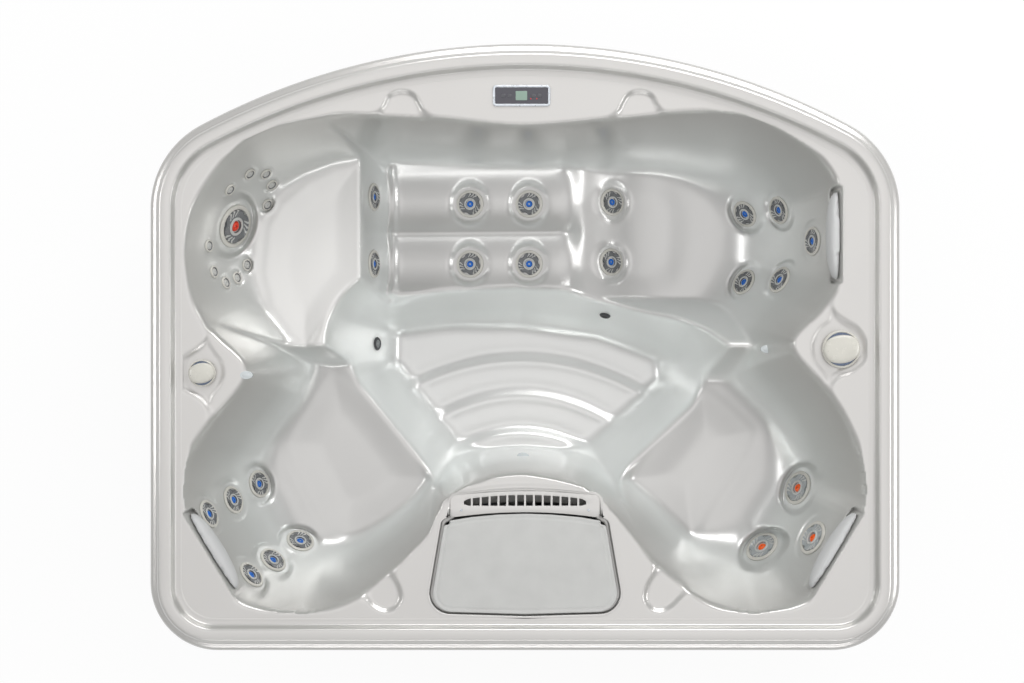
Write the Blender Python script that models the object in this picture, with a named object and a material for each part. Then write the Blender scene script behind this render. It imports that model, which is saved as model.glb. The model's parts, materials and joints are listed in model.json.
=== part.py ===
# Hot tub: bathing shell with a lounge, three seats and a footwell, on a frame, cabinet and base pan.
# Metres, +Z up, standing on z = 0. +X is the head end of the lounge, +Y the arched back.
import math

import bmesh
import bpy
import numpy as np
from mathutils import Matrix, Vector
from mathutils.geometry import delaunay_2d_cdt

# Overall
LENGTH = 2.10
WIDTH = 1.70
HEIGHT = 0.76
WALL = 0.006
GAP = 0.0003
OVERRUN = 0.02

# Plan of the outer lip
BACK_RADIUS = 1.93
BACK_CORNER_RADIUS = 0.265
FRONT_CORNER_RADIUS = 0.19
ARC_STEPS = 12
CORNER_STEPS = 6
SIDE_STEPS = 4

# Section of the rim: how far in from the lip, and how far below the rim's top
LIP_SKIRT = 0.042
LIP_EDGE_INSET = 0.005
LIP_DROP = 0.054
COVE_INSET = 0.026
RIM_FOOT_INSET = 0.037
RIM_FOOT_DROP = 0.014
CROWN_INSET = 0.050
RIM_INNER_INSET = 0.074
RIM_GROOVE_INSET = 0.088
RIM_GROOVE_DROP = 0.017
DECK_INSET = 0.100
DECK_DROP = 0.022

# Edge of the bathing well, in shares of the half length and half width
OPENING_SHARES = (
    (-0.013, 0.718), (0.217, 0.741), (0.375, 0.76), (0.512, 0.767), (0.615, 0.744), (0.721, 0.675),
    (0.79, 0.607), (0.832, 0.512), (0.84, 0.375), (0.835, 0.225), (0.782, 0.117), (0.705, 0.007),
    (0.795, -0.134), (0.851, -0.245), (0.89, -0.372), (0.895, -0.52), (0.832, -0.675), (0.761, -0.815),
    (0.65, -0.86), (0.581, -0.865), (0.499, -0.84), (0.431, -0.79), (0.346, -0.705), (0.285, -0.6),
    (0.222, -0.515), (0.132, -0.44), (0.029, -0.408), (-0.04, -0.405), (-0.111, -0.425), (-0.217, -0.5),
    (-0.256, -0.594), (-0.346, -0.715), (-0.438, -0.81), (-0.544, -0.86), (-0.623, -0.865), (-0.703, -0.85),
    (-0.771, -0.81), (-0.837, -0.682), (-0.892, -0.545), (-0.898, -0.431), (-0.88, -0.333),
    (-0.832, -0.245), (-0.734, -0.082), (-0.814, 0.036), (-0.845, 0.078), (-0.885, 0.183),
    (-0.9, 0.32), (-0.885, 0.434),
    (-0.845, 0.532), (-0.782, 0.63), (-0.716, 0.695), (-0.615, 0.734), (-0.499, 0.754), (-0.417, 0.754),
    (-0.238, 0.744),
)
EDGE_ROUND = 0.026

# Facets of the shell
PAN_SPACING = 0.105
FILL_SPACING = 0.13
PAD_SHARE = 1.03
WELD = 1e-6
TINY = 1e-9
WALL_PROBES = ((0.7, 0.714), (1.0, 0.0))
PROBE_COUNT = 8

# Seats: pan outline in the same shares, and height of the pan
CORNER_SEAT_SHARES = (
    (-0.44, 0.65), (-0.44, 0.236), (-0.611, -0.038), (-0.662, 0.021), (-0.718, 0.125), (-0.746, 0.253),
    (-0.732, 0.426), (-0.69, 0.513), (-0.589, 0.6),
)
CORNER_SEAT_HEIGHT = 0.632 * HEIGHT
SEAT_CORNER_RADIUS = 0.05
LEFT_SEAT_SHARES = ((-0.543, -0.053), (-0.241, -0.469), (-0.491, -0.689), (-0.693, -0.362))
RIGHT_SEAT_SHARES = ((0.506, -0.117), (0.259, -0.469), (0.497, -0.699), (0.693, -0.266))
LOW_SEAT_HEIGHT = 0.447 * HEIGHT
LEFT_SEAT_LIMIT_SHARE = -0.055
RIGHT_SEAT_LIMIT_SHARE = -0.11
BACK_CURVE = 1.6
NARROW_RUN = 0.08
WIDE_RUN = 0.28

# Lounge: pan outline, then its height from the foot end to the back
LOUNGE_SHARES = (
    (-0.393, 0.648), (0.146, 0.648), (0.335, 0.66), (0.47, 0.6), (0.51, 0.421), (0.47, 0.2), (0.335, 0.14),
    (0.146, 0.155), (-0.393, 0.184),
)
LOUNGE_STATION_SHARES = (-0.393, -0.1, 0.146, 0.25, 0.36, 0.47)
LOUNGE_HEIGHT_SHARES = (0.362, 0.408, 0.447, 0.388, 0.345, 0.362)
LOUNGE_SIDE_SHARE = 0.17
LOUNGE_FOOT_SHARE = -0.395
FOOT_WALL_SLOPE = 3.2
SIDE_WALL_SLOPE = 1.7
LEG_RIDGE_SHARE = 0.405
LEG_RIDGE_HEIGHT = 0.030
LEG_RIDGE_WIDTH = 0.055

# Footwell
FOOTWELL_SHARES = (
    (-0.395, 0.063), (-0.395, -0.056), (-0.193, -0.36), (-0.105, -0.378), (0, -0.372), (0.105, -0.378),
    (0.19, -0.36), (0.41, -0.12), (0.405, -0.034), (0.226, 0.05), (-0.015, 0.09), (-0.226, 0.09),
)
FOOTWELL_HEIGHT = 0.10
FOOTWELL_SLOPE = 2.3
TERRACE_STEP = 0.012
TERRACE_RUN = 0.024
TERRACE_SHARES = ((-0.055, 0.305), (-0.186, 0.243))
TERRACE_BOW_SHARE = 0.25
TERRACE_POINTS = 7

# Filter well with its lid and the weir grille, across the front
LID_FRONT_HALF = 0.232
LID_REAR_HALF = 0.270
LID_FRONT_SHARE = -0.5506
LID_REAR_MARGIN = 0.006
LID_FRONT_Y = LID_FRONT_SHARE * WIDTH / 2
LID_REAR_Y = DECK_INSET + LID_REAR_MARGIN - WIDTH / 2
LID_BOW = 0.010
LID_THICKNESS = 0.010
LID_FRONT_RADIUS = 0.022
LID_REAR_RADIUS = 0.055
LID_CLEARANCE = 0.003
LID_CROWN = 0.004
LID_NOTCH_RADIUS = 0.006
LID_NOTCH_BACK = 0.022
LEDGE = 0.016
WELL_HEIGHT = 0.30
WELL_SLOPE = 14.0
GRILLE_HALF = 0.204
GRILLE_FRONT_SHARE = -0.4729
GRILLE_FRONT_Y = GRILLE_FRONT_SHARE * WIDTH / 2
GRILLE_REAR_GAP = 0.004
GRILLE_REAR_Y = LID_FRONT_Y + GRILLE_REAR_GAP
GRILLE_BOW = 0.014
GRILLE_RADIUS = 0.016
SLOT_COUNT = 14
SLOT_PITCH = 0.0246
SLOT_WIDTH = 0.0165
SLOT_DEPTH = 0.029
GRILLE_THICKNESS = 0.006
GRILLE_LEDGE = 0.009
GRILLE_STAND = 0.001
SLOT_SETBACK = 0.0245

# Jets: place in shares, then the sizes of the three patterns of jet
LEG_JET_SHARES = ((-0.159, 0.512), (0.012, 0.51), (-0.159, 0.297), (0.012, 0.296))
HIP_JET_SHARES = ((0.253, 0.52), (0.25, 0.305))
FOOT_JET_SHARES = ((-0.43, 0.527), (-0.43, 0.292))
BACK_JET_SHARES = ((0.636, 0.475), (0.718, 0.478), (0.631, 0.231), (0.717, 0.233), (0.788, 0.358))
LEFT_JET_SHARES = (
    (-0.758, -0.482), (-0.812, -0.526), (-0.855, -0.558), (-0.641, -0.683), (-0.703, -0.734),
    (-0.745, -0.766),
)
RIGHT_JET_SHARES = ((0.772, -0.492), (0.671, -0.699), (0.788, -0.645))
BIG_JET_SHARES = ((-0.8, 0.412),)
MINI_JET_SHARES = (
    (-0.748, 0.581), (-0.711, 0.587), (-0.702, 0.555), (-0.718, 0.49), (-0.798, 0.525), (-0.855, 0.338),
    (-0.844, 0.252), (-0.819, 0.217), (-0.796, 0.236), (-0.774, 0.282),
)
JET_FLANGE_RADIUS = 0.042
SEAT_JET_FLANGE_RADIUS = 0.052
BIG_JET_FLANGE_RADIUS = 0.064
MINI_JET_RADIUS = 0.018
JET_FACE_SHARE = 0.785
JET_FLANGE_THICKNESS = 0.0045
JET_FACE_CLEARANCE = 0.0006
JET_FACE_DEPTH = 0.011
JET_FACE_STAND = 0.001
JET_SOCKET_RADIUS = 0.0115
JET_SOCKET_DEPTH = 0.006
JET_NOTCH = 0.0045
JET_SHANK_LENGTH = 0.050
JET_SHANK_WALL = 0.0025
JET_STEEPEST = 2.1
JET_STEEP_REACH = 1.2
JET_SIDES = 9
BODY_SIDES = 9
MINI_SIDES = 6
MINI_SHANK_RADIUS = 0.008
MINI_FLANGE_THICKNESS = 0.004
MINI_BORE_DEPTH = 0.003
MINI_SHANK_LENGTH = 0.032

# Plumbing
FEED_RADIUS = 0.010
RAIL_RADIUS = 0.019
PIPE_SIDES = 6
LOW_RAIL_HEIGHT = 0.16
MID_RAIL_HEIGHT = 0.23
HIGH_RAIL_HEIGHT = 0.40

# Deck controls
PANEL_LENGTH = 0.160
PANEL_WIDTH = 0.059
PANEL_SHARES = (-0.009, 0.82)
PANEL_STAND = 0.005
PANEL_TUB_DEPTH = 0.024
PANEL_TUB_MARGIN = 0.006
PANEL_RADIUS = 0.010
BUTTON_LENGTH = 0.0125
BUTTON_WIDTH = 0.010
BUTTON_STAND = 0.0012
BUTTON_DEPTH = 0.004
BUTTON_TRAVEL = 0.001
BUTTON_CLEARANCE = 0.0004
BUTTON_OFFSETS = (-0.0505, -0.0335, 0.0325, 0.0495)
BEZEL_FACE_DROP = 0.0019
BEZEL_BORDER = 0.006
AIR_KNOB_SHARES = (-0.853, -0.085)
AIR_KNOB_RADIUS = 0.038
DIVERTER_SHARES = (0.835, -0.007)
DIVERTER_RADIUS = 0.053
KNOB_SKIRT = 0.012
KNOB_LEVER_HEIGHT = 0.018
KNOB_LEVER_SHARE = 0.36
KNOB_STEM_RADIUS = 0.010
KNOB_STEM_LENGTH = 0.034
KNOB_SIDES = 16
VALVE_LENGTH = 0.085
VALVE_RADIUS_SHARE = 0.62
AIR_KNOB_TURN = 12.0
DIVERTER_TURN = 8.0

# Pillows: middle of the back edge in shares, direction of the wall behind
PILLOW_PLACES = (
    ("pillow_lounge", (0.831, 0.367), 0.0),
    ("pillow_left_seat", (-0.831, -0.673), -148.5),
    ("pillow_right_seat", (0.824, -0.671), -31.3),
)
PILLOW_LENGTH = 0.250
PILLOW_HEIGHT = 0.062
PILLOW_THICKNESS = 0.028
PILLOW_SLOPE = 4.0
PILLOW_DROP = 0.036
PILLOW_CROWN_SHARE = 0.35
PILLOW_SEAT = 0.0015
PILLOW_COLUMNS = 16
PILLOW_ROWS = 8

# Base, frame and cabinet
BASE_INSET = 0.008
BASE_THICKNESS = 0.012
BASE_CHAMFER = 0.005
PANEL_OUTER_INSET = 0.0105
CABINET_THICKNESS = 0.014
PLANK_COUNT = 5
PLANK_GROOVE = 0.004
POST_OUTER_INSET = 0.0075
RAIL_THICKNESS = 0.024
RAIL_HEIGHT = 0.070
UPRIGHT_LENGTH = 0.060
BEARER_WIDTH = 0.060
BEARER_HALF_SPACING = 0.150
BACK_SAG = 0.012
CABINET_SEAM = 0.001
UPRIGHT_SHARES = (0.03, 0.10, 0.185, 0.30, 0.42, 0.50, 0.58, 0.70, 0.815, 0.90)
STATION_STEP_SHARE = 0.002

# Pump and equipment
PUMP_SIDE_SPACE = 0.10
PUMP_Y_SHARE = -0.4235
PUMP_AXIS_HEIGHT = 0.125
MOTOR_RADIUS = 0.078
MOTOR_LENGTH = 0.240
MOTOR_FIN_DEPTH = 0.006
MOTOR_FINS = 8
WET_END_RADIUS = 0.092
WET_END_LENGTH = 0.075
PORT_RADIUS = 0.027
PORT_LENGTH = 0.050
ROTOR_RADIUS = 0.052
ROTOR_SHAFT_RADIUS = 0.008
ROTOR_DISC = 0.008
ROTOR_VANE = 0.014
ROTOR_VANES = 6
RUNNING_CLEARANCE = 0.0006
ROTOR_FLOAT = 0.001
MOTOR_BORE_DEPTH = 0.040
WET_END_CLEARANCE = 0.004
WET_END_PLATE = 0.008
FOOT_WIDTH = 0.050
BOX_SIDE_SPACE = 0.17
BOX_Y_SHARE = -0.4706
BOX_LENGTH = 0.34
BOX_WIDTH = 0.20
BOX_HEIGHT = 0.16
HEATER_RADIUS = 0.032
HEATER_LENGTH = 0.40
CARTRIDGE_RADIUS = 0.065
CARTRIDGE_HEIGHT = 0.300
CARTRIDGE_SPACING = 0.170
CARTRIDGE_BORE = 0.020
CARTRIDGE_PLEATS = 7
CARTRIDGE_BORE_DEPTH = 0.050
CARTRIDGE_PLEAT_DEPTH = 0.006
CARTRIDGE_CAP = 0.018

# Footwell fittings
SUCTION_SHARES = (-0.437, 0.012)
SUCTION_RADIUS = 0.021
SLOT_FITTING_SHARES = (0.235, 0.115)
SLOT_FITTING_RADIUS = 0.017
FITTING_THICKNESS = 0.005
FITTING_SHANK = 0.030
FITTING_SHANK_SHARE = 0.7

DECK = HEIGHT - DECK_DROP
FRAME_INSET = PANEL_OUTER_INSET + CABINET_THICKNESS + GAP
PEARL = (0.78, 0.77, 0.75)


def clear_scene():
    for thing in list(bpy.data.objects):
        bpy.data.objects.remove(thing)


def material(name, colour, roughness=0.4, metallic=0.0):
    found = bpy.data.materials.get(name)
    if found:
        return found
    made = bpy.data.materials.new(name)
    made.use_nodes = True
    shader = made.node_tree.nodes["Principled BSDF"]
    shader.inputs["Base Color"].default_value = (*colour, 1.0)
    shader.inputs["Roughness"].default_value = roughness
    shader.inputs["Metallic"].default_value = metallic
    return made


def place(name, mesh, look, matrix=None):
    thing = bpy.data.objects.new(name, mesh)
    bpy.context.scene.collection.objects.link(thing)
    if look is not None and not mesh.materials:
        mesh.materials.append(look)
    if matrix is not None:
        thing.matrix_world = matrix
    return thing


def mesh_from(name, points, faces):
    made = bpy.data.meshes.new(name)
    made.from_pydata([tuple(map(float, p)) for p in points], [], [tuple(map(int, f)) for f in faces])
    made.update()
    return made


def smooth(mesh, angle=35):
    mesh.shade_smooth()
    mesh.set_sharp_from_angle(angle=math.radians(angle))
    return mesh


# Closed body through rings of equal count; the first and last ring may be a single point
def loft(name, rings):
    points, starts = [], []
    for ring in rings:
        starts.append(len(points))
        points.extend(ring)
    faces = []
    for a, b, low, high in zip(rings, rings[1:], starts, starts[1:]):
        count = max(len(a), len(b))
        for i in range(count):
            j = (i + 1) % count
            if len(a) == 1:
                faces.append((low, high + j, high + i))
            elif len(b) == 1:
                faces.append((low + i, low + j, high))
            else:
                faces.append((low + i, low + j, high + j, high + i))
    if len(rings[0]) > 1:
        faces.append(tuple(reversed(range(len(rings[0])))))
    if len(rings[-1]) > 1:
        faces.append(tuple(range(starts[-1], len(points))))
    return mesh_from(name, points, faces)


def circle(radius, height, sides, turn=0.0):
    steps = (2 * math.pi * (i + turn) / sides for i in range(sides))
    return [(radius * math.cos(a), radius * math.sin(a), height) for a in steps]


# Ring whose corners lie at each of the radii in turn, for pleats, fins and vanes
def waved(radii, height, sides):
    ring = circle(1.0, height, sides)
    return [(x * radii[k % len(radii)], y * radii[k % len(radii)], z) for k, (x, y, z) in enumerate(ring)]


# Turned body: profile of (radius, height) from the bottom's middle, up the outside, to the top's middle
def turned(name, profile, sides):
    rings = [[(0.0, 0.0, z)] if r == 0 else circle(r, z, sides) for r, z in profile]
    return smooth(loft(name, rings))


def prism(name, outline, low, high):
    return loft(name, [[(x, y, low) for x, y in outline], [(x, y, high) for x, y in outline]])


def box(name, size, low_centre):
    sx, sy = size[0] / 2, size[1] / 2
    outline = [(-sx, -sy), (sx, -sy), (sx, sy), (-sx, sy)]
    x, y, z = low_centre
    return prism(name, [(x + a, y + b) for a, b in outline], z, z + size[2])


# Round tube through points, with mitred corners
def tube(name, route, radius, sides):
    route = [Vector(p) for p in route]
    rings = []
    side = None
    for i, here in enumerate(route):
        before = (here - route[i - 1]).normalized() if i else None
        after = (route[i + 1] - here).normalized() if i + 1 < len(route) else None
        along = ((before or after) + (after or before)).normalized()
        if side is None:
            side = along.orthogonal().normalized()
        side = (side - along * side.dot(along)).normalized()
        up = along.cross(side)
        angles = [2 * math.pi * k / sides for k in range(sides)]
        rings.append([tuple(here + (side * math.cos(a) + up * math.sin(a)) * radius) for a in angles])
    return smooth(loft(name, rings))


def shifted(mesh, matrix):
    mesh.transform(matrix)
    return mesh


def helper(name, mesh):
    thing = place(name, mesh, None)
    thing.hide_render = True
    thing.display_type = "WIRE"
    return thing


# Boolean of an object with several helper meshes, taken together as one operand
def combine(thing, meshes, operation):
    work = bmesh.new()
    for mesh in meshes:
        work.from_mesh(mesh)
    joined = bpy.data.meshes.new(f"{thing.name} {operation.lower()}")
    work.to_mesh(joined)
    work.free()
    step = thing.modifiers.new(operation.lower(), "BOOLEAN")
    step.operation = operation
    step.object = helper(joined.name, joined)
    step.solver = "EXACT"
    step.use_self = operation == "UNION"
    return thing


# Tub's plan at a distance in from the lip, counterclockwise from the middle of the front
def tub_outline(inset, side_steps=SIDE_STEPS):
    half = LENGTH / 2 - inset
    front = -WIDTH / 2 + inset
    arc_y = WIDTH / 2 - BACK_RADIUS
    radius = BACK_RADIUS - inset
    corner = BACK_CORNER_RADIUS - inset
    front_corner = FRONT_CORNER_RADIUS - inset
    corner_x = half - corner
    corner_y = arc_y + math.sqrt((radius - corner) ** 2 - corner_x**2)
    front_y = front + front_corner
    reach = math.atan2(corner_y - arc_y, corner_x)
    right = [(half - front_corner, front)]
    right += arc(half - front_corner, front_y, front_corner, -math.pi / 2, 0.0, CORNER_STEPS)
    right += line(right[-1], (half, corner_y), side_steps)
    right += arc(corner_x, corner_y, corner, 0.0, reach, CORNER_STEPS)
    right += arc(0.0, arc_y, radius, reach, math.pi / 2, ARC_STEPS // 2)
    bottom = line((0.0, front), right[0], side_steps)[:-1]
    right = [(0.0, front)] + bottom + right
    left = [(-x, y) for x, y in reversed(right[1:-1])]
    return right + left


def arc(x, y, radius, start, end, steps):
    angles = [start + (end - start) * k / steps for k in range(1, steps + 1)]
    return [(x + radius * math.cos(a), y + radius * math.sin(a)) for a in angles]


def line(start, end, steps):
    shares = [k / steps for k in range(1, steps + 1)]
    return [(start[0] + (end[0] - start[0]) * s, start[1] + (end[1] - start[1]) * s) for s in shares]


def to_plan(shares):
    return [(x * LENGTH / 2, y * WIDTH / 2) for x, y in shares]


# Closed smooth curve through points (Catmull-Rom), with steps points to each span
def smooth_loop(points, steps):
    points = np.array(points)
    before, after, beyond = np.roll(points, 1, 0), np.roll(points, -1, 0), np.roll(points, -2, 0)
    share = (np.arange(steps) / steps)[None, :, None]
    a, b = points[:, None], after[:, None]
    c, d = (after - before)[:, None] / 2, (beyond - points)[:, None] / 2
    curve = a + c * share + (3 * (b - a) - 2 * c - d) * share**2 + (2 * (a - b) + c + d) * share**3
    return [tuple(p) for p in curve.reshape(-1, 2)]


# Closed loop of straight sides with each corner rounded
def fillet_loop(corners, radii, steps=4):
    loop = []
    count = len(corners)
    for i, radius in enumerate(radii):
        here = Vector(corners[i])
        back = (Vector(corners[i - 1]) - here).normalized()
        ahead = (Vector(corners[(i + 1) % count]) - here).normalized()
        half = back.angle(ahead) / 2
        if radius == 0 or half > math.radians(88):
            loop.append(tuple(here))
            continue
        reach = radius / math.tan(half)
        centre = here + (back + ahead).normalized() * radius / math.sin(half)
        first, last = here + back * reach, here + ahead * reach
        start = math.atan2(first.y - centre.y, first.x - centre.x)
        sweep = math.remainder(math.atan2(last.y - centre.y, last.x - centre.x) - start, 2 * math.pi)
        for k in range(steps + 1):
            a = start + sweep * k / steps
            loop.append((centre.x + radius * math.cos(a), centre.y + radius * math.sin(a)))
    return loop


# Twice the signed area of a loop
def turning(points):
    x, y = np.asarray(points).T
    return float(np.sum(x * np.roll(y, -1) - y * np.roll(x, -1)))


# Loop moved outwards by a distance (inwards if negative), keeping its point count
def offset_loop(loop, distance):
    points = np.array(loop)
    along = np.roll(points, -1, 0) - np.roll(points, 1, 0)
    along /= np.linalg.norm(along, axis=1, keepdims=True)
    outward = np.stack([along[:, 1], -along[:, 0]], 1) * np.sign(turning(points))
    return [tuple(p) for p in points + outward * distance]


def resampled(loop, spacing):
    points = np.array(list(loop) + [loop[0]])
    lengths = np.r_[0, np.cumsum(np.linalg.norm(np.diff(points, axis=0), axis=1))]
    count = max(8, round(lengths[-1] / spacing))
    at = np.arange(count) * lengths[-1] / count
    x, y = (np.interp(at, lengths, points[:, axis]) for axis in (0, 1))
    return list(zip(x.tolist(), y.tolist()))


# Distance from points to a closed loop, negative inside it
def loop_distance(points, loop):
    ends = np.array(loop)
    least = np.full(len(points), np.inf)
    inside = np.zeros(len(points), bool)
    for a, b in zip(ends, np.roll(ends, -1, 0)):
        side = b - a
        share = np.clip((points - a) @ side / max(side @ side, TINY), 0, 1)
        least = np.minimum(least, np.hypot(*(points - a - share[:, None] * side).T))
        crosses = (a[1] > points[:, 1]) != (b[1] > points[:, 1])
        rise = b[1] - a[1] if b[1] != a[1] else 1.0
        inside ^= crosses & (points[:, 0] < a[0] + (points[:, 1] - a[1]) * side[0] / rise)
    return np.where(inside, -least, least)


def blend_min(a, b, reach):
    share = np.clip(0.5 + 0.5 * (b - a) / reach, 0, 1)
    return b * (1 - share) + a * share - reach * share * (1 - share)


def lid_loop(offset=0.0):
    corners = [
        (LID_REAR_HALF, LID_REAR_Y + LID_BOW), (LID_FRONT_HALF, LID_FRONT_Y - LID_BOW), (0.0, LID_FRONT_Y),
        (-LID_FRONT_HALF, LID_FRONT_Y - LID_BOW), (-LID_REAR_HALF, LID_REAR_Y + LID_BOW), (0.0, LID_REAR_Y),
    ]
    radii = (LID_REAR_RADIUS, LID_FRONT_RADIUS, 0, LID_FRONT_RADIUS, LID_REAR_RADIUS, 0)
    return offset_loop(fillet_loop(corners, radii), offset)


def grille_loop(offset=0.0):
    front, rear = GRILLE_FRONT_Y - GRILLE_BOW, GRILLE_REAR_Y
    mid = GRILLE_HALF / 2
    near = GRILLE_FRONT_Y - GRILLE_BOW / 4
    corners = [
        (GRILLE_HALF, rear - GRILLE_BOW / 2), (GRILLE_HALF, front), (mid, near), (0.0, GRILLE_FRONT_Y),
        (-mid, near), (-GRILLE_HALF, front), (-GRILLE_HALF, rear - GRILLE_BOW / 2), (0.0, rear),
    ]
    radii = (GRILLE_RADIUS / 4, GRILLE_RADIUS, 0, 0, 0, GRILLE_RADIUS, GRILLE_RADIUS / 4, 0)
    return offset_loop(fillet_loop(corners, radii), offset)


OPENING = smooth_loop(to_plan(OPENING_SHARES), 2)
CORNER_SEAT = smooth_loop(to_plan(CORNER_SEAT_SHARES), 2)
LEFT_SEAT = fillet_loop(to_plan(LEFT_SEAT_SHARES), [SEAT_CORNER_RADIUS] * 4)
RIGHT_SEAT = fillet_loop(to_plan(RIGHT_SEAT_SHARES), [SEAT_CORNER_RADIUS] * 4)
LOUNGE = to_plan(LOUNGE_SHARES)
FOOTWELL = to_plan(FOOTWELL_SHARES)


# Height of the rim and the bare deck
def rim_height(points):
    inset = -loop_distance(points, tub_outline(0.0))
    stations = (
        (0.0, LIP_DROP + LIP_EDGE_INSET), (LIP_EDGE_INSET, LIP_DROP), (COVE_INSET, LIP_DROP),
        (RIM_FOOT_INSET, RIM_FOOT_DROP), (CROWN_INSET, 0.0), (RIM_INNER_INSET, 0.0),
        (RIM_GROOVE_INSET, RIM_GROOVE_DROP), (DECK_INSET, DECK_DROP),
    )
    return HEIGHT - np.interp(inset, [s[0] for s in stations], [s[1] for s in stations])


# Share of the way from a pan's edge to the edge of the bathing well, turned into a rising wall
def wall_rise(beyond, to_edge):
    away = np.clip(beyond, 0, None)
    run = away + np.clip(to_edge, 0, None) + TINY
    curve = BACK_CURVE * np.clip((run - NARROW_RUN) / (WIDE_RUN - NARROW_RUN), 0, 1)
    return (away / run) ** (1 + curve)


def seat_height(points, pan, level, to_edge):
    beyond = loop_distance(points, pan)
    return level + (DECK - level) * wall_rise(beyond, to_edge)


def lounge_height(points, to_edge):
    x, y = points.T
    stations = [s * LENGTH / 2 for s in LOUNGE_STATION_SHARES]
    level = np.interp(x, stations, LOUNGE_HEIGHT_SHARES) * HEIGHT
    beyond = loop_distance(points, LOUNGE)
    back = level + (DECK - level) * wall_rise(beyond, to_edge)
    foot = level + FOOT_WALL_SLOPE * (LOUNGE_FOOT_SHARE * LENGTH / 2 - x)
    side = level + SIDE_WALL_SLOPE * (LOUNGE_SIDE_SHARE * WIDTH / 2 - y)
    ridge = LEG_RIDGE_HEIGHT * np.exp(-(((y - LEG_RIDGE_SHARE * WIDTH / 2) / LEG_RIDGE_WIDTH) ** 2) * 4)
    ridge = ridge * np.clip((stations[2] - x) / LEG_RIDGE_WIDTH, 0, 1)
    return np.maximum(np.maximum(back + ridge, foot), side)


# Upper edge of a step across the footwell's floor, bowed towards the filter at its ends
def terrace_edge(x, share):
    return share * WIDTH / 2 - TERRACE_BOW_SHARE * WIDTH / 2 * (x / (LENGTH / 4)) ** 2


def footwell_height(points, to_edge):
    beyond = loop_distance(points, FOOTWELL)
    x, y = points.T
    steps = [np.clip((terrace_edge(x, share) - y) / TERRACE_RUN, 0, 1) for share, _ in TERRACE_SHARES]
    level = FOOTWELL_HEIGHT + sum(steps) * TERRACE_STEP
    slope = FOOTWELL_HEIGHT + FOOTWELL_SLOPE * beyond
    return np.maximum(np.maximum(level, slope), level + (DECK - level) * wall_rise(beyond, to_edge) ** 2)


# Height of the bathing surface before its flat pads
def bare_height(points):
    to_edge = -loop_distance(points, OPENING)
    corner = seat_height(points, CORNER_SEAT, CORNER_SEAT_HEIGHT, to_edge)
    bowl = blend_min(corner, lounge_height(points, to_edge), EDGE_ROUND)
    for pan, limit in ((LEFT_SEAT, LEFT_SEAT_LIMIT_SHARE), (RIGHT_SEAT, RIGHT_SEAT_LIMIT_SHARE)):
        seat = seat_height(points, pan, LOW_SEAT_HEIGHT, to_edge)
        side = LOW_SEAT_HEIGHT + SIDE_WALL_SLOPE * (points[:, 1] - limit * WIDTH / 2)
        bowl = blend_min(bowl, np.maximum(seat, side), EDGE_ROUND)
    bowl = blend_min(bowl, footwell_height(points, to_edge), EDGE_ROUND)
    deck = rim_height(points)
    bowl = np.where(to_edge > 0, bowl, DECK + EDGE_ROUND)
    return np.where(to_edge > -EDGE_ROUND, blend_min(deck, bowl, EDGE_ROUND / 2), deck)


def height_at(x, y):
    return float(bare_height(np.array([(x, y)]))[0])


def slope_at(x, y, reach):
    spots = np.array([(x + reach, y), (x - reach, y), (x, y + reach), (x, y - reach)])
    east, west, north, south = bare_height(spots)
    return (east - west) / (2 * reach), (north - south) / (2 * reach)


# A flat pad in the surface: middle, slopes, half sizes along and across, and its direction
class Pad:
    def __init__(self, x, y, radius, sides):
        reach = radius / 2
        self.x, self.y = x, y
        self.sides = sides
        self.radius = radius
        east, north = slope_at(x, y, reach)
        slope = math.hypot(east, north) + TINY
        steeper = max(slope, JET_STEEPEST * math.tanh(slope / JET_STEEP_REACH))
        self.east, self.north = east * steeper / slope, north * steeper / slope
        self.z = height_at(x, y) - (steeper - slope) * radius / math.hypot(1, steeper)

    def plane(self, points):
        return self.z + self.east * (points[:, 0] - self.x) + self.north * (points[:, 1] - self.y)

    def distance(self, points):
        east, north = points[:, 0] - self.x, points[:, 1] - self.y
        return np.sqrt(east**2 + north**2 + (self.east * east + self.north * north) ** 2)

    def cover(self, points):
        return np.clip((self.radius * 1.06 - self.distance(points)) / (self.radius * 0.05), 0, 1)

    def outward(self):
        return Vector((-self.east, -self.north, 1)).normalized()

    # Frame on the pad: z out of the surface, x as level as it can be
    def frame(self):
        out = self.outward()
        level = Vector((0, 0, 1)).cross(out)
        level = level.normalized() if level.length > 0.05 else Vector((1, 0, 0))
        level = (level - out * level.dot(out)).normalized()
        turn = Matrix((level, out.cross(level), out)).transposed().to_4x4()
        return Matrix.Translation((self.x, self.y, self.z)) @ turn

    # Points of a circle on the pad, in plan
    def ring(self, radius, sides):
        frame = self.frame()
        return [tuple((frame @ Vector(p)).xy) for p in circle(radius, 0.0, sides)]


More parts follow.
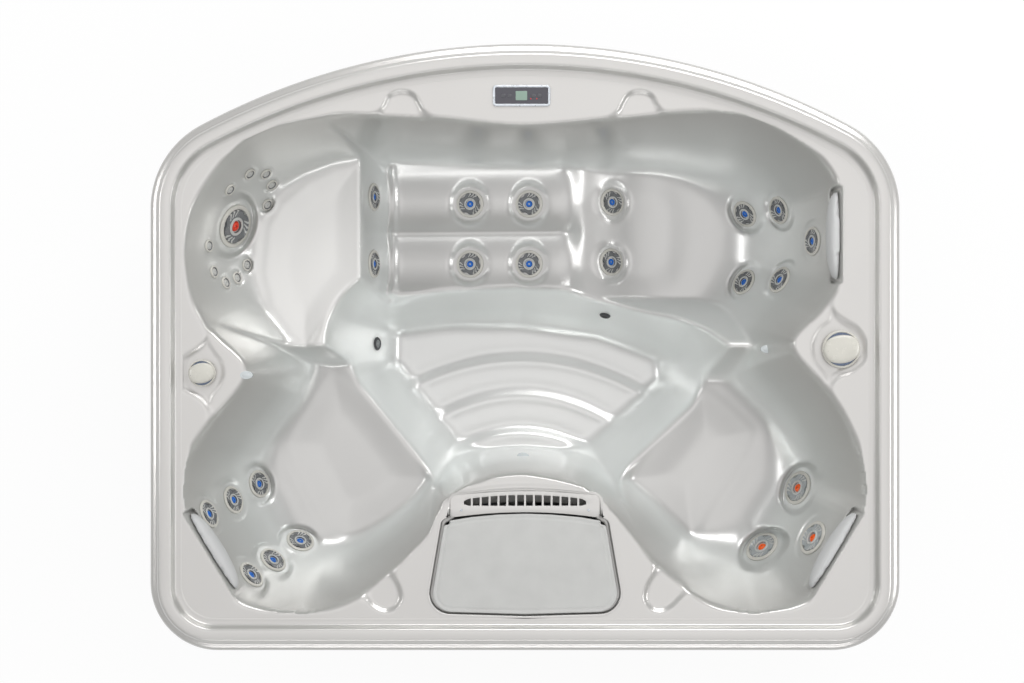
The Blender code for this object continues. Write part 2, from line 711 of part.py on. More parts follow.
# The flat seat behind a pillow: a plane that leans back from its lower edge to the deck
class PillowPad(Pad):
    def __init__(self, shares, heading):
        (self.x, self.y), = to_plan([shares])
        self.z = DECK - PILLOW_DROP
        rise = Vector((math.cos(math.radians(heading)), math.sin(math.radians(heading))))
        self.east, self.north = rise * PILLOW_SLOPE
        self.rise = rise

    def local(self, points):
        east, north = points[:, 0] - self.x, points[:, 1] - self.y
        along = -east * self.rise.y + north * self.rise.x
        up = (east * self.rise.x + north * self.rise.y) * math.hypot(1, PILLOW_SLOPE)
        return along, up

    def cover(self, points):
        along, up = self.local(points)
        margin = EDGE_ROUND
        ends = np.clip((PILLOW_LENGTH / 2 + 2 * margin - np.abs(along)) / margin, 0, 1)
        lower = np.clip((PILLOW_HEIGHT / 2 + 2 * margin + up) / margin, 0, 1)
        return ends * lower * (up < 2 * PILLOW_HEIGHT)

    def outline(self, extra):
        half, low = PILLOW_LENGTH / 2 + extra, PILLOW_HEIGHT / 2 + extra
        high = PILLOW_DROP * math.hypot(1, PILLOW_SLOPE) / PILLOW_SLOPE
        frame = self.frame()
        corners = [(-half, -low), (half, -low), (half, high), (-half, high)]
        return [tuple((frame @ Vector((a, b, 0))).xy) for a, b in corners]


def pads_for(shares, radius, sides=BODY_SIDES):
    return [Pad(x, y, radius * PAD_SHARE, sides) for x, y in to_plan(shares)]


JET_GROUPS = (
    ("leg_jet", LEG_JET_SHARES, JET_FLANGE_RADIUS, "lounge_jet_bodies"),
    ("hip_jet", HIP_JET_SHARES, JET_FLANGE_RADIUS, "lounge_jet_bodies"),
    ("foot_jet", FOOT_JET_SHARES, JET_FLANGE_RADIUS, "lounge_jet_bodies"),
    ("back_jet", BACK_JET_SHARES, JET_FLANGE_RADIUS, "back_jet_bodies"),
    ("left_seat_jet", LEFT_JET_SHARES, JET_FLANGE_RADIUS, "left_seat_jet_bodies"),
    ("right_seat_jet", RIGHT_JET_SHARES, SEAT_JET_FLANGE_RADIUS, "right_seat_jet_bodies"),
    ("corner_seat_jet", BIG_JET_SHARES, BIG_JET_FLANGE_RADIUS, "corner_seat_jet_bodies"),
)


# Height of the bathing surface, flat where a jet, a fitting or a pillow seats
def surface_height(points, pads):
    bare = bare_height(points)
    total, most, planes = np.zeros(len(points)), np.zeros(len(points)), np.zeros(len(points))
    for pad in pads:
        share = pad.cover(points)
        total += share
        planes += share * np.minimum(pad.plane(points), np.maximum(bare, DECK))
        most = np.maximum(most, share)
    level = np.where(total > 0, planes / np.maximum(total, TINY), bare)
    return bare * (1 - most) + level * most


# Outline of the filter well's mouth, under the lid and the grille
def well_loop(offset=0.0):
    shoulder, near = GRILLE_HALF - LEDGE, GRILLE_FRONT_Y - GRILLE_LEDGE
    half = [
        (LID_REAR_HALF - LEDGE, LID_REAR_Y + LID_BOW + LEDGE),
        (LID_FRONT_HALF - 2 * LEDGE, LID_FRONT_Y - LEDGE),
        (shoulder, near - GRILLE_BOW),
        (GRILLE_HALF / 2, near - GRILLE_BOW / 4),
    ]
    corners = half + [(0.0, near)] + [(-x, y) for x, y in reversed(half)]
    radii = (LID_REAR_RADIUS - LEDGE, LID_REAR_RADIUS, GRILLE_RADIUS / 2, 0)
    return offset_loop(fillet_loop(corners, radii + (0,) + radii[::-1], 3), offset)


# The deck sunk for the lid and the grille, and the well below them
def filter_height(points):
    lid = DECK - LID_THICKNESS + WELL_SLOPE * loop_distance(points, lid_loop(LID_CLEARANCE))
    grille = DECK - GRILLE_THICKNESS + WELL_SLOPE * loop_distance(points, grille_loop(LID_CLEARANCE))
    lid = np.maximum(lid, DECK - LID_THICKNESS)
    grille = np.maximum(grille, DECK - GRILLE_THICKNESS)
    well = np.maximum(WELL_HEIGHT, DECK - LID_THICKNESS + WELL_SLOPE * loop_distance(points, well_loop()))
    return np.minimum(np.minimum(lid, grille), well)


def shell_height(points, pads):
    return np.minimum(surface_height(points, pads), filter_height(points))


# Lines of the shell in plan: each loop, or the stretches of it that pass a test
def shell_lines(pads, pillows):
    rims = (
        0.0, LIP_EDGE_INSET, COVE_INSET, RIM_FOOT_INSET, CROWN_INSET, RIM_INNER_INSET, RIM_GROOVE_INSET,
        DECK_INSET,
    )
    lines = [(tub_outline(inset), None) for inset in rims]
    inner = np.array(OPENING)

    def in_bowl(margin):
        return lambda points: -loop_distance(points, inner) > margin

    def off_the_lid(points):
        return (points[:, 1] > GRILLE_REAR_Y) | (np.abs(points[:, 0]) > GRILLE_HALF * 0.9)

    def clear_of_pillows(points):
        return np.all([pad.cover(points) == 0 for pad in pillows], axis=0)

    edges = [(offset_loop(OPENING, EDGE_ROUND * side), clear_of_pillows) for side in (0.5, -0.5)]
    pans = (CORNER_SEAT, LEFT_SEAT, RIGHT_SEAT, LOUNGE, FOOTWELL)
    lines += edges + [(resampled(pan, PAN_SPACING), in_bowl(EDGE_ROUND)) for pan in pans]
    crease = (LOW_SEAT_HEIGHT - FOOTWELL_HEIGHT) / FOOTWELL_SLOPE
    lines.append((resampled(offset_loop(FOOTWELL, crease), PAN_SPACING), in_bowl(2 * EDGE_ROUND)))
    sill = (DECK - LID_THICKNESS - WELL_HEIGHT) / WELL_SLOPE
    for step in (0.0, LID_THICKNESS / WELL_SLOPE):
        lines.append((lid_loop(LID_CLEARANCE + step), None))
    for step in (0.0, GRILLE_THICKNESS / WELL_SLOPE):
        lines.append((grille_loop(LID_CLEARANCE + step), off_the_lid))
    lines += [(well_loop(0.0), None), (well_loop(-sill - WALL), None)]
    for pad in pads:
        lines.append((pad.ring(pad.radius, pad.sides), None))
    for pad in pillows:
        lines.append((pad.outline(EDGE_ROUND), None))
    return lines


# Both edges of each step across the footwell's floor
def terrace_lines():
    lines = []
    for share, reach in TERRACE_SHARES:
        across = np.linspace(-reach, reach, TERRACE_POINTS) * LENGTH / 2
        for run in (0.0, TERRACE_RUN):
            lines.append(np.c_[across, terrace_edge(across, share) - run])
    return lines


# Plan of the shell cut into triangles along its lines, with a sparse fill between them
def shell_plan(lines, pads):
    points, edges = [], []
    for loop, test in lines:
        spots = np.array(loop)
        kept = np.ones(len(spots), bool) if test is None else test(spots)
        first = len(points)
        points.extend(map(tuple, spots))
        for i in range(len(spots)):
            j = (i + 1) % len(spots)
            if kept[i] and kept[j]:
                edges.append((first + i, first + j))
    for spots in terrace_lines():
        first = len(points)
        points.extend(map(tuple, spots))
        edges += [(first + i, first + i + 1) for i in range(len(spots) - 1)]
    used = sorted({i for edge in edges for i in edge})
    number = {old: new for new, old in enumerate(used)}
    points = [points[i] for i in used]
    edges = [(number[a], number[b]) for a, b in edges]
    taken = np.array(points)
    rows = np.arange(-WIDTH / 2, WIDTH / 2, FILL_SPACING * math.sqrt(0.75))
    for k, y in enumerate(rows):
        for x in np.arange(-LENGTH / 2 + FILL_SPACING * (k % 2) / 2, LENGTH / 2, FILL_SPACING):
            spot = np.array([(x, y)])
            if loop_distance(spot, OPENING)[0] > -EDGE_ROUND:
                continue
            near_pad = any(pad.distance(spot)[0] < 1.3 * pad.radius for pad in pads)
            if not near_pad and np.hypot(*(taken - spot[0]).T).min() > FILL_SPACING / 2:
                points.append((float(x), float(y)))
    for pad in pads:
        points.append((pad.x, pad.y))
    spots, _, faces, *_ = delaunay_2d_cdt([Vector(p) for p in points], edges, [], 0, WELD)
    outline = tub_outline(0.0)
    centres = np.array([sum((spots[i] for i in f), Vector((0, 0))) / len(f) for f in faces])
    inside = loop_distance(centres, outline) < 0
    return np.array([tuple(s) for s in spots]), [list(f) for f, keep in zip(faces, inside) if keep]


# Underside of the shell: nowhere nearer than the wall's thickness to the top of it
def underside(points, pads):
    low = shell_height(points, pads) - WALL
    lip = tub_outline(LIP_EDGE_INSET)
    for reach, drop in WALL_PROBES:
        for x, y in arc(0.0, 0.0, WALL * reach, 0.0, 2 * math.pi, PROBE_COUNT):
            moved = points + np.array((x, y))
            beyond = loop_distance(moved, lip) > 0
            height = np.where(beyond, HEIGHT - LIP_DROP, shell_height(moved, pads))
            low = np.minimum(low, height - WALL * drop)
    return low


def make_shell(pads, pillows):
    plan, faces = shell_plan(shell_lines(pads, pillows), pads)
    count, shift = len(tub_outline(0.0)), len(plan)
    hem = np.full(2 * count, HEIGHT - LIP_DROP - LIP_SKIRT)
    top = np.c_[plan, shell_height(plan, pads + pillows)]
    low = np.c_[plan, underside(plan, pads + pillows)]
    points = np.vstack([top, low, np.c_[plan[: 2 * count], hem]])
    solid = [face if turning(plan[face]) > 0 else face[::-1] for face in faces]
    solid += [[shift + k for k in reversed(face)] for face in solid if min(face) >= count]
    outer, inner, wall = 2 * shift, 2 * shift + count, shift + count
    for i in range(count):
        j = (i + 1) % count
        solid.append((outer + i, outer + j, j, i))
        solid.append((outer + i, inner + i, inner + j, outer + j))
        solid.append((inner + i, wall + i, wall + j, inner + j))
    mesh = mesh_from("shell", points, solid)
    work = bmesh.new()
    work.from_mesh(mesh)
    bmesh.ops.delete(work, geom=[v for v in work.verts if not v.link_faces], context="VERTS")
    work.to_mesh(mesh)
    work.free()
    return place("shell", smooth(mesh), material("pearl acrylic", PEARL, 0.25))


# Groups of bodies: the order in which the rail reaches them, and its height
JET_RAILS = (
    ("lounge_jet_bodies", (6, 0, 1, 4, 5, 3, 2, 7), LOW_RAIL_HEIGHT),
    ("back_jet_bodies", (0, 1, 4, 3, 2, 5), MID_RAIL_HEIGHT),
    ("left_seat_jet_bodies", (3, 4, 5, 2, 1, 0, 6), MID_RAIL_HEIGHT),
    ("right_seat_jet_bodies", (0, 2, 1), MID_RAIL_HEIGHT),
    ("corner_seat_jet_bodies", (2, 1, 5, 0, 4, 3, 6, 7, 8, 9, 10), HIGH_RAIL_HEIGHT),
)


# Closed tube of section rings, the last joined to the first
def closed_loft(name, rings):
    count = len(rings[0])
    points = [p for ring in rings for p in ring]
    faces = []
    for k in range(len(rings)):
        low, high = k * count, (k + 1) % len(rings) * count
        for i in range(count):
            j = (i + 1) % count
            faces.append((low + i, low + j, high + j, high + i))
    return mesh_from(name, points, faces)


def at_height(outline, z):
    return [(x, y, z) for x, y in outline]


# Corner radius of a many-sided bore that a round of this radius turns in
def around(radius, sides):
    return radius / math.cos(math.pi / sides)


def jet_sizes(flange):
    face = flange * JET_FACE_SHARE
    bore = around(face + JET_FACE_CLEARANCE, BODY_SIDES)
    return face, bore, bore + JET_SHANK_WALL


# Fixed part of a jet: flange on the shell, open cup for the face, shank through the shell
def jet_body(flange):
    _, bore, shank = jet_sizes(flange)
    top, floor = GAP + JET_FLANGE_THICKNESS, -JET_FACE_DEPTH - GAP
    profile = [
        (0, -JET_SHANK_LENGTH), (shank, -JET_SHANK_LENGTH), (shank, GAP),
        (flange, GAP), (flange - JET_FLANGE_THICKNESS / 2, top), (bore, top), (bore, floor), (0, floor),
    ]
    return turned("jet body", profile, BODY_SIDES)


# Face that the hand turns: notched rim and an open socket round the nozzle
def jet_face(flange):
    face, _, _ = jet_sizes(flange)
    top = GAP + JET_FLANGE_THICKNESS + JET_FACE_STAND
    every = JET_SIDES // 3

    def notched(radius, z):
        ring = circle(1.0, z, JET_SIDES)
        spans = [radius - JET_NOTCH * (k % every == 0) for k in range(JET_SIDES)]
        return [(x * r, y * r, z) for (x, y, z), r in zip(ring, spans)]

    socket = top - JET_SOCKET_DEPTH
    rings = [
        [(0.0, 0.0, -JET_FACE_DEPTH)], notched(face, -JET_FACE_DEPTH), notched(face, top),
        circle(JET_SOCKET_RADIUS, top, JET_SIDES), circle(JET_SOCKET_RADIUS * 0.8, socket, JET_SIDES),
        [(0.0, 0.0, socket)],
    ]
    return smooth(loft("jet face", rings))


def mini_jet():
    top = GAP + MINI_FLANGE_THICKNESS
    profile = [
        (0, -MINI_SHANK_LENGTH), (MINI_SHANK_RADIUS, -MINI_SHANK_LENGTH), (MINI_SHANK_RADIUS, GAP),
        (MINI_JET_RADIUS, GAP), (MINI_JET_RADIUS * 0.8, top), (0, top - MINI_BORE_DEPTH),
    ]
    return turned("mini jet", profile, MINI_SIDES)


# Valve under the deck, with the bore that its knob's stem turns in
def valve(radius):
    bore, depth = around(KNOB_STEM_RADIUS + GAP, BODY_SIDES), KNOB_STEM_LENGTH - WALL
    profile = [
        (0, -VALVE_LENGTH), (radius * 0.8, -VALVE_LENGTH), (radius, -VALVE_LENGTH * 0.8), (radius, 0),
        (bore, 0), (bore, -depth), (0, -depth),
    ]
    return turned("valve", profile, BODY_SIDES)


# Bodies of one group of jets, joined behind the shell by a feed from each down to a common rail
def jet_group(name, bodies, rail_height, look):
    meshes, drops = [], []
    for mesh, frame, depth in bodies:
        meshes.append(shifted(mesh, frame))
        tail = frame @ Vector((0, 0, -depth * 0.8))
        drop = Vector((tail.x, tail.y, rail_height))
        drops.append(drop)
        meshes.append(tube("feed", [tail, drop], FEED_RADIUS, PIPE_SIDES))
    ends = [drops[0] + (drops[0] - drops[1]).normalized() * RAIL_RADIUS * 2]
    ends += drops + [drops[-1] + (drops[-1] - drops[-2]).normalized() * RAIL_RADIUS * 2]
    meshes.append(tube("rail", ends, RAIL_RADIUS, PIPE_SIDES))
    return combine(place(name, meshes[0], look), meshes[1:], "UNION")


def make_jets(groups, minis):
    grey = material("grey jet plastic", (0.33, 0.34, 0.35), 0.3)
    pipe = material("flange plastic", (0.62, 0.60, 0.57), 0.35)
    bodies = {}
    for name, _, flange, body in JET_GROUPS:
        face = jet_face(flange)
        for number, pad in enumerate(groups[name], 1):
            place(f"{name}_{number}", face, grey, pad.frame())
            bodies.setdefault(body, []).append((jet_body(flange), pad.frame(), JET_SHANK_LENGTH))
    under = DECK - WALL - GAP
    for shares, radius, body in (
        (AIR_KNOB_SHARES, AIR_KNOB_RADIUS, "left_seat_jet_bodies"),
        (DIVERTER_SHARES, DIVERTER_RADIUS, "back_jet_bodies"),
    ):
        (x, y), = to_plan([shares])
        spot = Matrix.Translation((x, y, under))
        bodies[body].append((valve(radius * VALVE_RADIUS_SHARE), spot, VALVE_LENGTH))
    bodies["corner_seat_jet_bodies"] += [(mini_jet(), pad.frame(), MINI_SHANK_LENGTH) for pad in minis]
    for name, order, rail in JET_RAILS:
        jet_group(name, [bodies[name][k] for k in order], rail, pipe)


# Holes in the shell for every shank, stem and tub that passes through it
def shell_cutters(groups, minis, fittings):
    cutters = []
    for name, _, flange, _ in JET_GROUPS:
        shank = jet_sizes(flange)[2] + GAP
        cutters += [hole(pad.frame(), shank, BODY_SIDES, JET_SHANK_LENGTH) for pad in groups[name]]
    cutters += [hole(pad.frame(), MINI_SHANK_RADIUS + GAP, MINI_SIDES, MINI_SHANK_LENGTH) for pad in minis]
    for pad, radius in fittings:
        cutters.append(hole(pad.frame(), radius * FITTING_SHANK_SHARE + GAP, BODY_SIDES, FITTING_SHANK))
    for shares in (AIR_KNOB_SHARES, DIVERTER_SHARES):
        (x, y), = to_plan([shares])
        stem = around(KNOB_STEM_RADIUS + GAP, BODY_SIDES)
        cutters.append(hole(Matrix.Translation((x, y, DECK)), stem, BODY_SIDES, OVERRUN))
    outline = panel_outline(-PANEL_TUB_MARGIN + GAP)
    cutters.append(prism("panel hole", outline, DECK - OVERRUN, DECK + OVERRUN))
    return cutters


def hole(frame, radius, sides, depth):
    low = -depth - GAP
    return shifted(turned("hole", [(0, low), (radius, low), (radius, OVERRUN), (0, OVERRUN)], sides), frame)


def make_fittings(fittings):
    dark = material("dark fitting", (0.25, 0.25, 0.26), 0.4)
    for name, (pad, radius) in zip(("suction_cover", "return_fitting"), fittings):
        shank = radius * FITTING_SHANK_SHARE
        profile = [
            (0, -FITTING_SHANK), (shank, -FITTING_SHANK), (shank, GAP), (radius, GAP),
            (radius * 0.85, GAP + FITTING_THICKNESS * 0.8), (radius * 0.5, GAP + FITTING_THICKNESS),
            (radius * 0.4, GAP + FITTING_THICKNESS / 2), (0, GAP + FITTING_THICKNESS / 2),
        ]
        place(name, turned(name, profile, BODY_SIDES), dark, pad.frame())


def make_lid():
    low, top = DECK - LID_THICKNESS + GAP, DECK + LID_CROWN
    outline = lid_loop()
    middle = (LID_FRONT_Y + LID_REAR_Y) / 2
    look = material("lid plastic", (0.56, 0.56, 0.55), 0.45)

    def drawn_in(share):
        return [(x * share, middle + (y - middle) * share) for x, y in outline]

    rings = [at_height(drawn_in(0.985), low), at_height(outline, low + LID_THICKNESS * 0.3)]
    rings += [at_height(outline, DECK), at_height(drawn_in(0.97), DECK + LID_CROWN * 0.5)]
    rings += [at_height(drawn_in(0.75), top - LID_CROWN * 0.1), at_height(drawn_in(0.4), top)]
    lid = place("filter_lid", smooth(loft("filter lid", rings)), look)
    notches = []
    for side in (-1, 1):
        spot = (side * (LID_FRONT_HALF + LID_NOTCH_RADIUS * 0.3), LID_FRONT_Y - LID_NOTCH_BACK, DECK)
        notches.append(hole(Matrix.Translation(spot), LID_NOTCH_RADIUS, BODY_SIDES, OVERRUN))
    combine(lid, notches, "DIFFERENCE")


def make_grille():
    low, top = DECK - GRILLE_THICKNESS + GAP, DECK + GRILLE_STAND
    look = material("grille plastic", (0.62, 0.61, 0.59), 0.4)
    rings = [
        at_height(grille_loop(), low),
        at_height(grille_loop(), DECK),
        at_height(grille_loop(-GRILLE_STAND), top),
    ]
    plate = place("weir_grille", smooth(loft("weir grille", rings)), look)
    slots = []
    for k in range(SLOT_COUNT):
        x = (k - (SLOT_COUNT - 1) / 2) * SLOT_PITCH
        y = GRILLE_FRONT_Y - SLOT_SETBACK - GRILLE_BOW * (x / GRILLE_HALF) ** 2 * 0.6
        tip = SLOT_WIDTH * 0.3 * (-1 if k == 0 else 1 if k == SLOT_COUNT - 1 else 0)
        half, deep = SLOT_WIDTH / 2, SLOT_DEPTH / 2
        outline = [
            (x - half, y - deep), (x + half, y - deep), (x + half + max(tip, 0), y), (x + half, y + deep),
            (x - half, y + deep), (x - half + min(tip, 0), y),
        ]
        slots.append(prism("slot", outline, low - OVERRUN, top + OVERRUN))
    combine(plate, slots, "DIFFERENCE")


def make_cartridges():
    paper = material("filter paper", (0.85, 0.86, 0.88), 0.8)
    sides = 2 * CARTRIDGE_PLEATS
    body = CARTRIDGE_RADIUS - CARTRIDGE_PLEAT_DEPTH / 2
    spans = (body, body - CARTRIDGE_PLEAT_DEPTH)
    top, low, high = CARTRIDGE_HEIGHT - CARTRIDGE_CAP, CARTRIDGE_CAP, CARTRIDGE_HEIGHT
    floor = high - CARTRIDGE_BORE_DEPTH
    rings = [
        [(0.0, 0.0, 0.0)], circle(CARTRIDGE_RADIUS, 0.0, sides), circle(CARTRIDGE_RADIUS, low, sides),
        waved(spans, low, sides), waved(spans, top, sides), circle(CARTRIDGE_RADIUS, top, sides),
        circle(CARTRIDGE_RADIUS, high, sides), circle(CARTRIDGE_BORE, high, sides),
        circle(CARTRIDGE_BORE, floor, sides), [(0.0, 0.0, floor)],
    ]
    mesh = smooth(loft("cartridge", rings))
    for name, side in (("filter_cartridge_left", -1), ("filter_cartridge_right", 1)):
        spot = (side * CARTRIDGE_SPACING / 2, (LID_FRONT_Y + LID_REAR_Y) / 2, WELL_HEIGHT + GAP)
        place(name, mesh, paper, Matrix.Translation(spot))


def panel_outline(offset):
    (x, y), = to_plan([PANEL_SHARES])
    half, deep = PANEL_LENGTH / 2, PANEL_WIDTH / 2
    corners = [(x - half, y - deep), (x + half, y - deep), (x + half, y + deep), (x - half, y + deep)]
    corners = offset_corners(corners, offset)
    return fillet_loop(corners, [max(PANEL_RADIUS + offset, PANEL_RADIUS / 4)] * 4, 2)


def offset_corners(corners, offset):
    middle = np.mean(corners, axis=0)
    ways = np.sign(np.array(corners) - middle)
    return [tuple(p) for p in np.array(corners) + ways * offset]


def make_panel():
    (x, y), = to_plan([PANEL_SHARES])
    face = DECK + PANEL_STAND - BEZEL_FACE_DROP
    edge = PANEL_STAND * 0.3
    top = DECK + PANEL_STAND
    stations = (
        (-PANEL_TUB_MARGIN, DECK - PANEL_TUB_DEPTH), (-PANEL_TUB_MARGIN, DECK + GAP), (0.0, DECK + GAP),
        (0.0, top - edge), (-edge, top), (-BEZEL_BORDER, top), (-BEZEL_BORDER - edge / 2, face),
    )
    rings = [at_height(panel_outline(offset), z) for offset, z in stations] + [[(x, y, face)]]
    silver = material("panel silver", (0.58, 0.62, 0.65), 0.3, 0.6)
    bezel = place("control_bezel", smooth(loft("bezel", rings)), silver)
    rubber = material("button rubber", (0.12, 0.12, 0.13), 0.5)
    half, deep, high = BUTTON_LENGTH / 2, BUTTON_WIDTH / 2, BUTTON_STAND
    corners = [(-half, -deep), (half, -deep), (half, deep), (-half, deep)]
    outline, taper, wide = (
        fillet_loop(offset_corners(corners, offset), [BUTTON_WIDTH / 4] * 4, 2)
        for offset in (0.0, -BUTTON_STAND / 2, BUTTON_CLEARANCE)
    )
    bottom = face - BUTTON_DEPTH - BUTTON_TRAVEL - GAP * 2
    pockets = []
    for number, shift in enumerate(BUTTON_OFFSETS, 1):
        rings = [at_height(outline, -BUTTON_DEPTH), at_height(outline, high / 2), at_height(taper, high)]
        cap = smooth(loft("button", rings))
        place(f"panel_button_{number}", cap, rubber, Matrix.Translation((x + shift, y, face)))
        pockets.append(prism("pocket", [(x + shift + a, y + b) for a, b in wide], bottom, face + OVERRUN))
    combine(bezel, pockets, "DIFFERENCE")


# Deck knob: low round skirt, a paddle across it to turn it by, and the stem to its valve
def make_knob(name, shares, radius, turn):
    skirt = KNOB_SKIRT
    stem = KNOB_STEM_LENGTH
    profile = [
        (0, -stem), (KNOB_STEM_RADIUS, -stem), (KNOB_STEM_RADIUS, GAP), (radius, GAP),
        (radius, skirt * 0.5), (radius * 0.93, skirt), (0, skirt),
    ]
    (x, y), = to_plan([shares])
    spot = Matrix.Translation((x, y, DECK)) @ Matrix.Rotation(math.radians(turn), 4, "Z")
    look = material("knob plastic", (0.52, 0.51, 0.50), 0.3)
    knob = place(name, turned(name, profile, KNOB_SIDES), look, spot)
    high = KNOB_LEVER_HEIGHT
    half = radius * KNOB_LEVER_SHARE
    rings = []
    stations = ((skirt / 2, 0.94, 1.0), (high, 0.88, 0.86), (high + skirt / 3, 0.67, 0.5))
    for height, length, width in stations:
        ring = circle(1.0, height, KNOB_SIDES // 2)
        rings.append([(a * radius * length, b * half * width, z) for a, b, z in ring])
    combine(knob, [shifted(smooth(loft("paddle", rings)), spot)], "UNION")


# Cushion on its flat seat: crowned front, drawn-in ends and long sides, flat back
def make_pillow(name, pad):
    rings = []
    reach = PILLOW_LENGTH / 2
    for k in range(1, PILLOW_COLUMNS):
        s = -math.cos(math.pi * k / PILLOW_COLUMNS)
        drawn = (1 - s**6) ** 0.5
        half = PILLOW_HEIGHT / 2 * (0.62 + 0.38 * (1 - s * s)) * (0.35 + 0.65 * drawn)
        thick = PILLOW_THICKNESS * (1 - PILLOW_CROWN_SHARE * s * s) * drawn
        front = [math.pi * i / PILLOW_ROWS for i in range(PILLOW_ROWS + 1)]
        ring = [(s * reach, -math.cos(a) * half, PILLOW_SEAT + thick * math.sin(a) ** 0.6) for a in front]
        ring += [(s * reach, math.cos(math.pi * i / 3) * half * 0.8, GAP * 2) for i in range(1, 3)]
        rings.append(ring)
    ends = [[(side * reach, 0.0, PILLOW_SEAT)] for side in (-1, 1)]
    mesh = smooth(loft(name, ends[1:] + rings[::-1] + ends[:1]), 60)
    place(name, mesh, material("pillow foam", (0.33, 0.34, 0.35), 0.7), pad.frame())


# Outline with nothing but corners on its straight sides
def plain_outline(inset):
    return tub_outline(inset, 1)


def make_base():
    outline = plain_outline(BASE_INSET)
    foot = at_height(plain_outline(BASE_INSET + BASE_CHAMFER), 0.0)
    rings = [foot, at_height(outline, BASE_CHAMFER), at_height(outline, BASE_THICKNESS)]
    place("base_pan", loft("base pan", rings), material("base plastic", (0.05, 0.05, 0.055), 0.6))


def ring_rail(name, near, far, low, high):
    rings = [at_height(plain_outline(near), low), at_height(plain_outline(near), high)]
    rings += [at_height(plain_outline(far), high), at_height(plain_outline(far), low)]
    return closed_loft(name, rings)


# Place and direction on the tub's plan at a share of the way round from the middle of the front
def station(inset, share):
    loop = np.array(plain_outline(inset) + plain_outline(inset)[:1])
    lengths = np.r_[0, np.cumsum(np.linalg.norm(np.diff(loop, axis=0), axis=1))]
    at = np.array((share, share + STATION_STEP_SHARE)) * lengths[-1]
    (x, ahead_x), (y, ahead_y) = (np.interp(at, lengths, loop[:, axis]) for axis in (0, 1))
    return x, y, math.atan2(ahead_y - y, ahead_x - x)


def make_frame():
    near, far = FRAME_INSET, FRAME_INSET + RAIL_THICKNESS
    low, high = BASE_THICKNESS + GAP, HEIGHT - LIP_DROP - WALL - GAP
    post_size = (UPRIGHT_LENGTH, RAIL_THICKNESS * 0.8, high - low - RAIL_HEIGHT)
    wood = material("timber", (0.55, 0.42, 0.27), 0.8)
    frame = place("frame", ring_rail("frame", near, far, low, low + RAIL_HEIGHT), wood)
    meshes = [ring_rail("top rail", near, far, high - RAIL_HEIGHT, high)]
    for share in UPRIGHT_SHARES:
        x, y, turn = station((near + far) / 2, share)
        post = box("upright", post_size, (0, 0, low + RAIL_HEIGHT / 2))
        meshes.append(shifted(post, Matrix.Translation((x, y, 0)) @ Matrix.Rotation(turn, 4, "Z")))
    seat = FOOTWELL_HEIGHT - WALL - GAP
    front, back = -WIDTH / 2 + (near + far) / 2, WIDTH / 2 - (near + far) / 2
    for side in (-1, 1):
        spot = (side * BEARER_HALF_SPACING, (front + back - BACK_SAG) / 2, low)
        meshes.append(box("bearer", (BEARER_WIDTH, back - front - BACK_SAG, seat - low), spot))
    combine(frame, meshes, "UNION")


# Section of a cabinet wall, as (share of its thickness from the outer face, height)
def plank_section(low, high, planks):
    pitch = (high - low) / planks
    groove = PLANK_GROOVE / 2
    section = [(0.0, low)]
    for k in range(1, planks):
        z = low + k * pitch
        section += [(0.0, z - groove), (PLANK_GROOVE / CABINET_THICKNESS, z), (0.0, z + groove)]
    return section + [(0.0, high), (1.0, high), (1.0, low)]


# Stretch of cabinet wall along the tub's plan, from one outline point to another
def cabinet_wall(name, first, last, outer, section, look):
    inner = PANEL_OUTER_INSET + CABINET_THICKNESS
    outside, inside = np.array(plain_outline(outer)), np.array(plain_outline(inner))
    order = [k % len(outside) for k in range(first, last + 1)]
    rings = []
    for place_number, k in enumerate(order):
        a, b = outside[k], inside[k]
        shift = np.zeros(2)
        if place_number in (0, len(order) - 1):
            ahead = inside[order[1]] - inside[k] if place_number == 0 else inside[order[-2]] - inside[k]
            shift = ahead / np.linalg.norm(ahead) * CABINET_SEAM / 2
        rings.append([(*(a + (b - a) * share + shift), z) for share, z in section])
    place(name, loft(name, rings[::-1]), look)


def make_cabinet():
    low, high = BASE_THICKNESS + GAP, HEIGHT - LIP_DROP - WALL - GAP
    planks = plank_section(low, high, PLANK_COUNT)
    plain = plank_section(low, high, 1)
    slat = material("cabinet slat", (0.30, 0.29, 0.28), 0.6)
    trim = material("corner trim", (0.18, 0.18, 0.19), 0.5)
    half_front, side, back = 1, 1, ARC_STEPS // 2
    total = 2 * (half_front + CORNER_STEPS + side + CORNER_STEPS + back)
    right_front = half_front
    right_side = right_front + CORNER_STEPS
    right_back = right_side + side
    arch = right_back + CORNER_STEPS
    cabinet_wall("cabinet_front", -half_front, half_front, PANEL_OUTER_INSET, planks, slat)
    cabinet_wall("cabinet_right", right_side, right_back, PANEL_OUTER_INSET, planks, slat)
    cabinet_wall("cabinet_back", arch, total - arch, PANEL_OUTER_INSET, planks, slat)
    cabinet_wall("cabinet_left", total - right_back, total - right_side, PANEL_OUTER_INSET, planks, slat)
    corners = (
        ("corner_front_right", right_front, right_side),
        ("corner_back_right", right_back, arch),
        ("corner_back_left", total - arch, total - right_back),
        ("corner_front_left", total - right_side, total - right_front),
    )
    for name, first, last in corners:
        cabinet_wall(name, first, last, POST_OUTER_INSET, plain, trim)


def along_x(x, y, z):
    return Matrix.Translation((x, y, z)) @ Matrix.Rotation(math.radians(90), 4, "Y")


# Turned body whose profile closes on itself round an open bore
def turned_ring(name, profile, sides):
    return smooth(closed_loft(name, [circle(r, z, sides) for r, z in profile]))


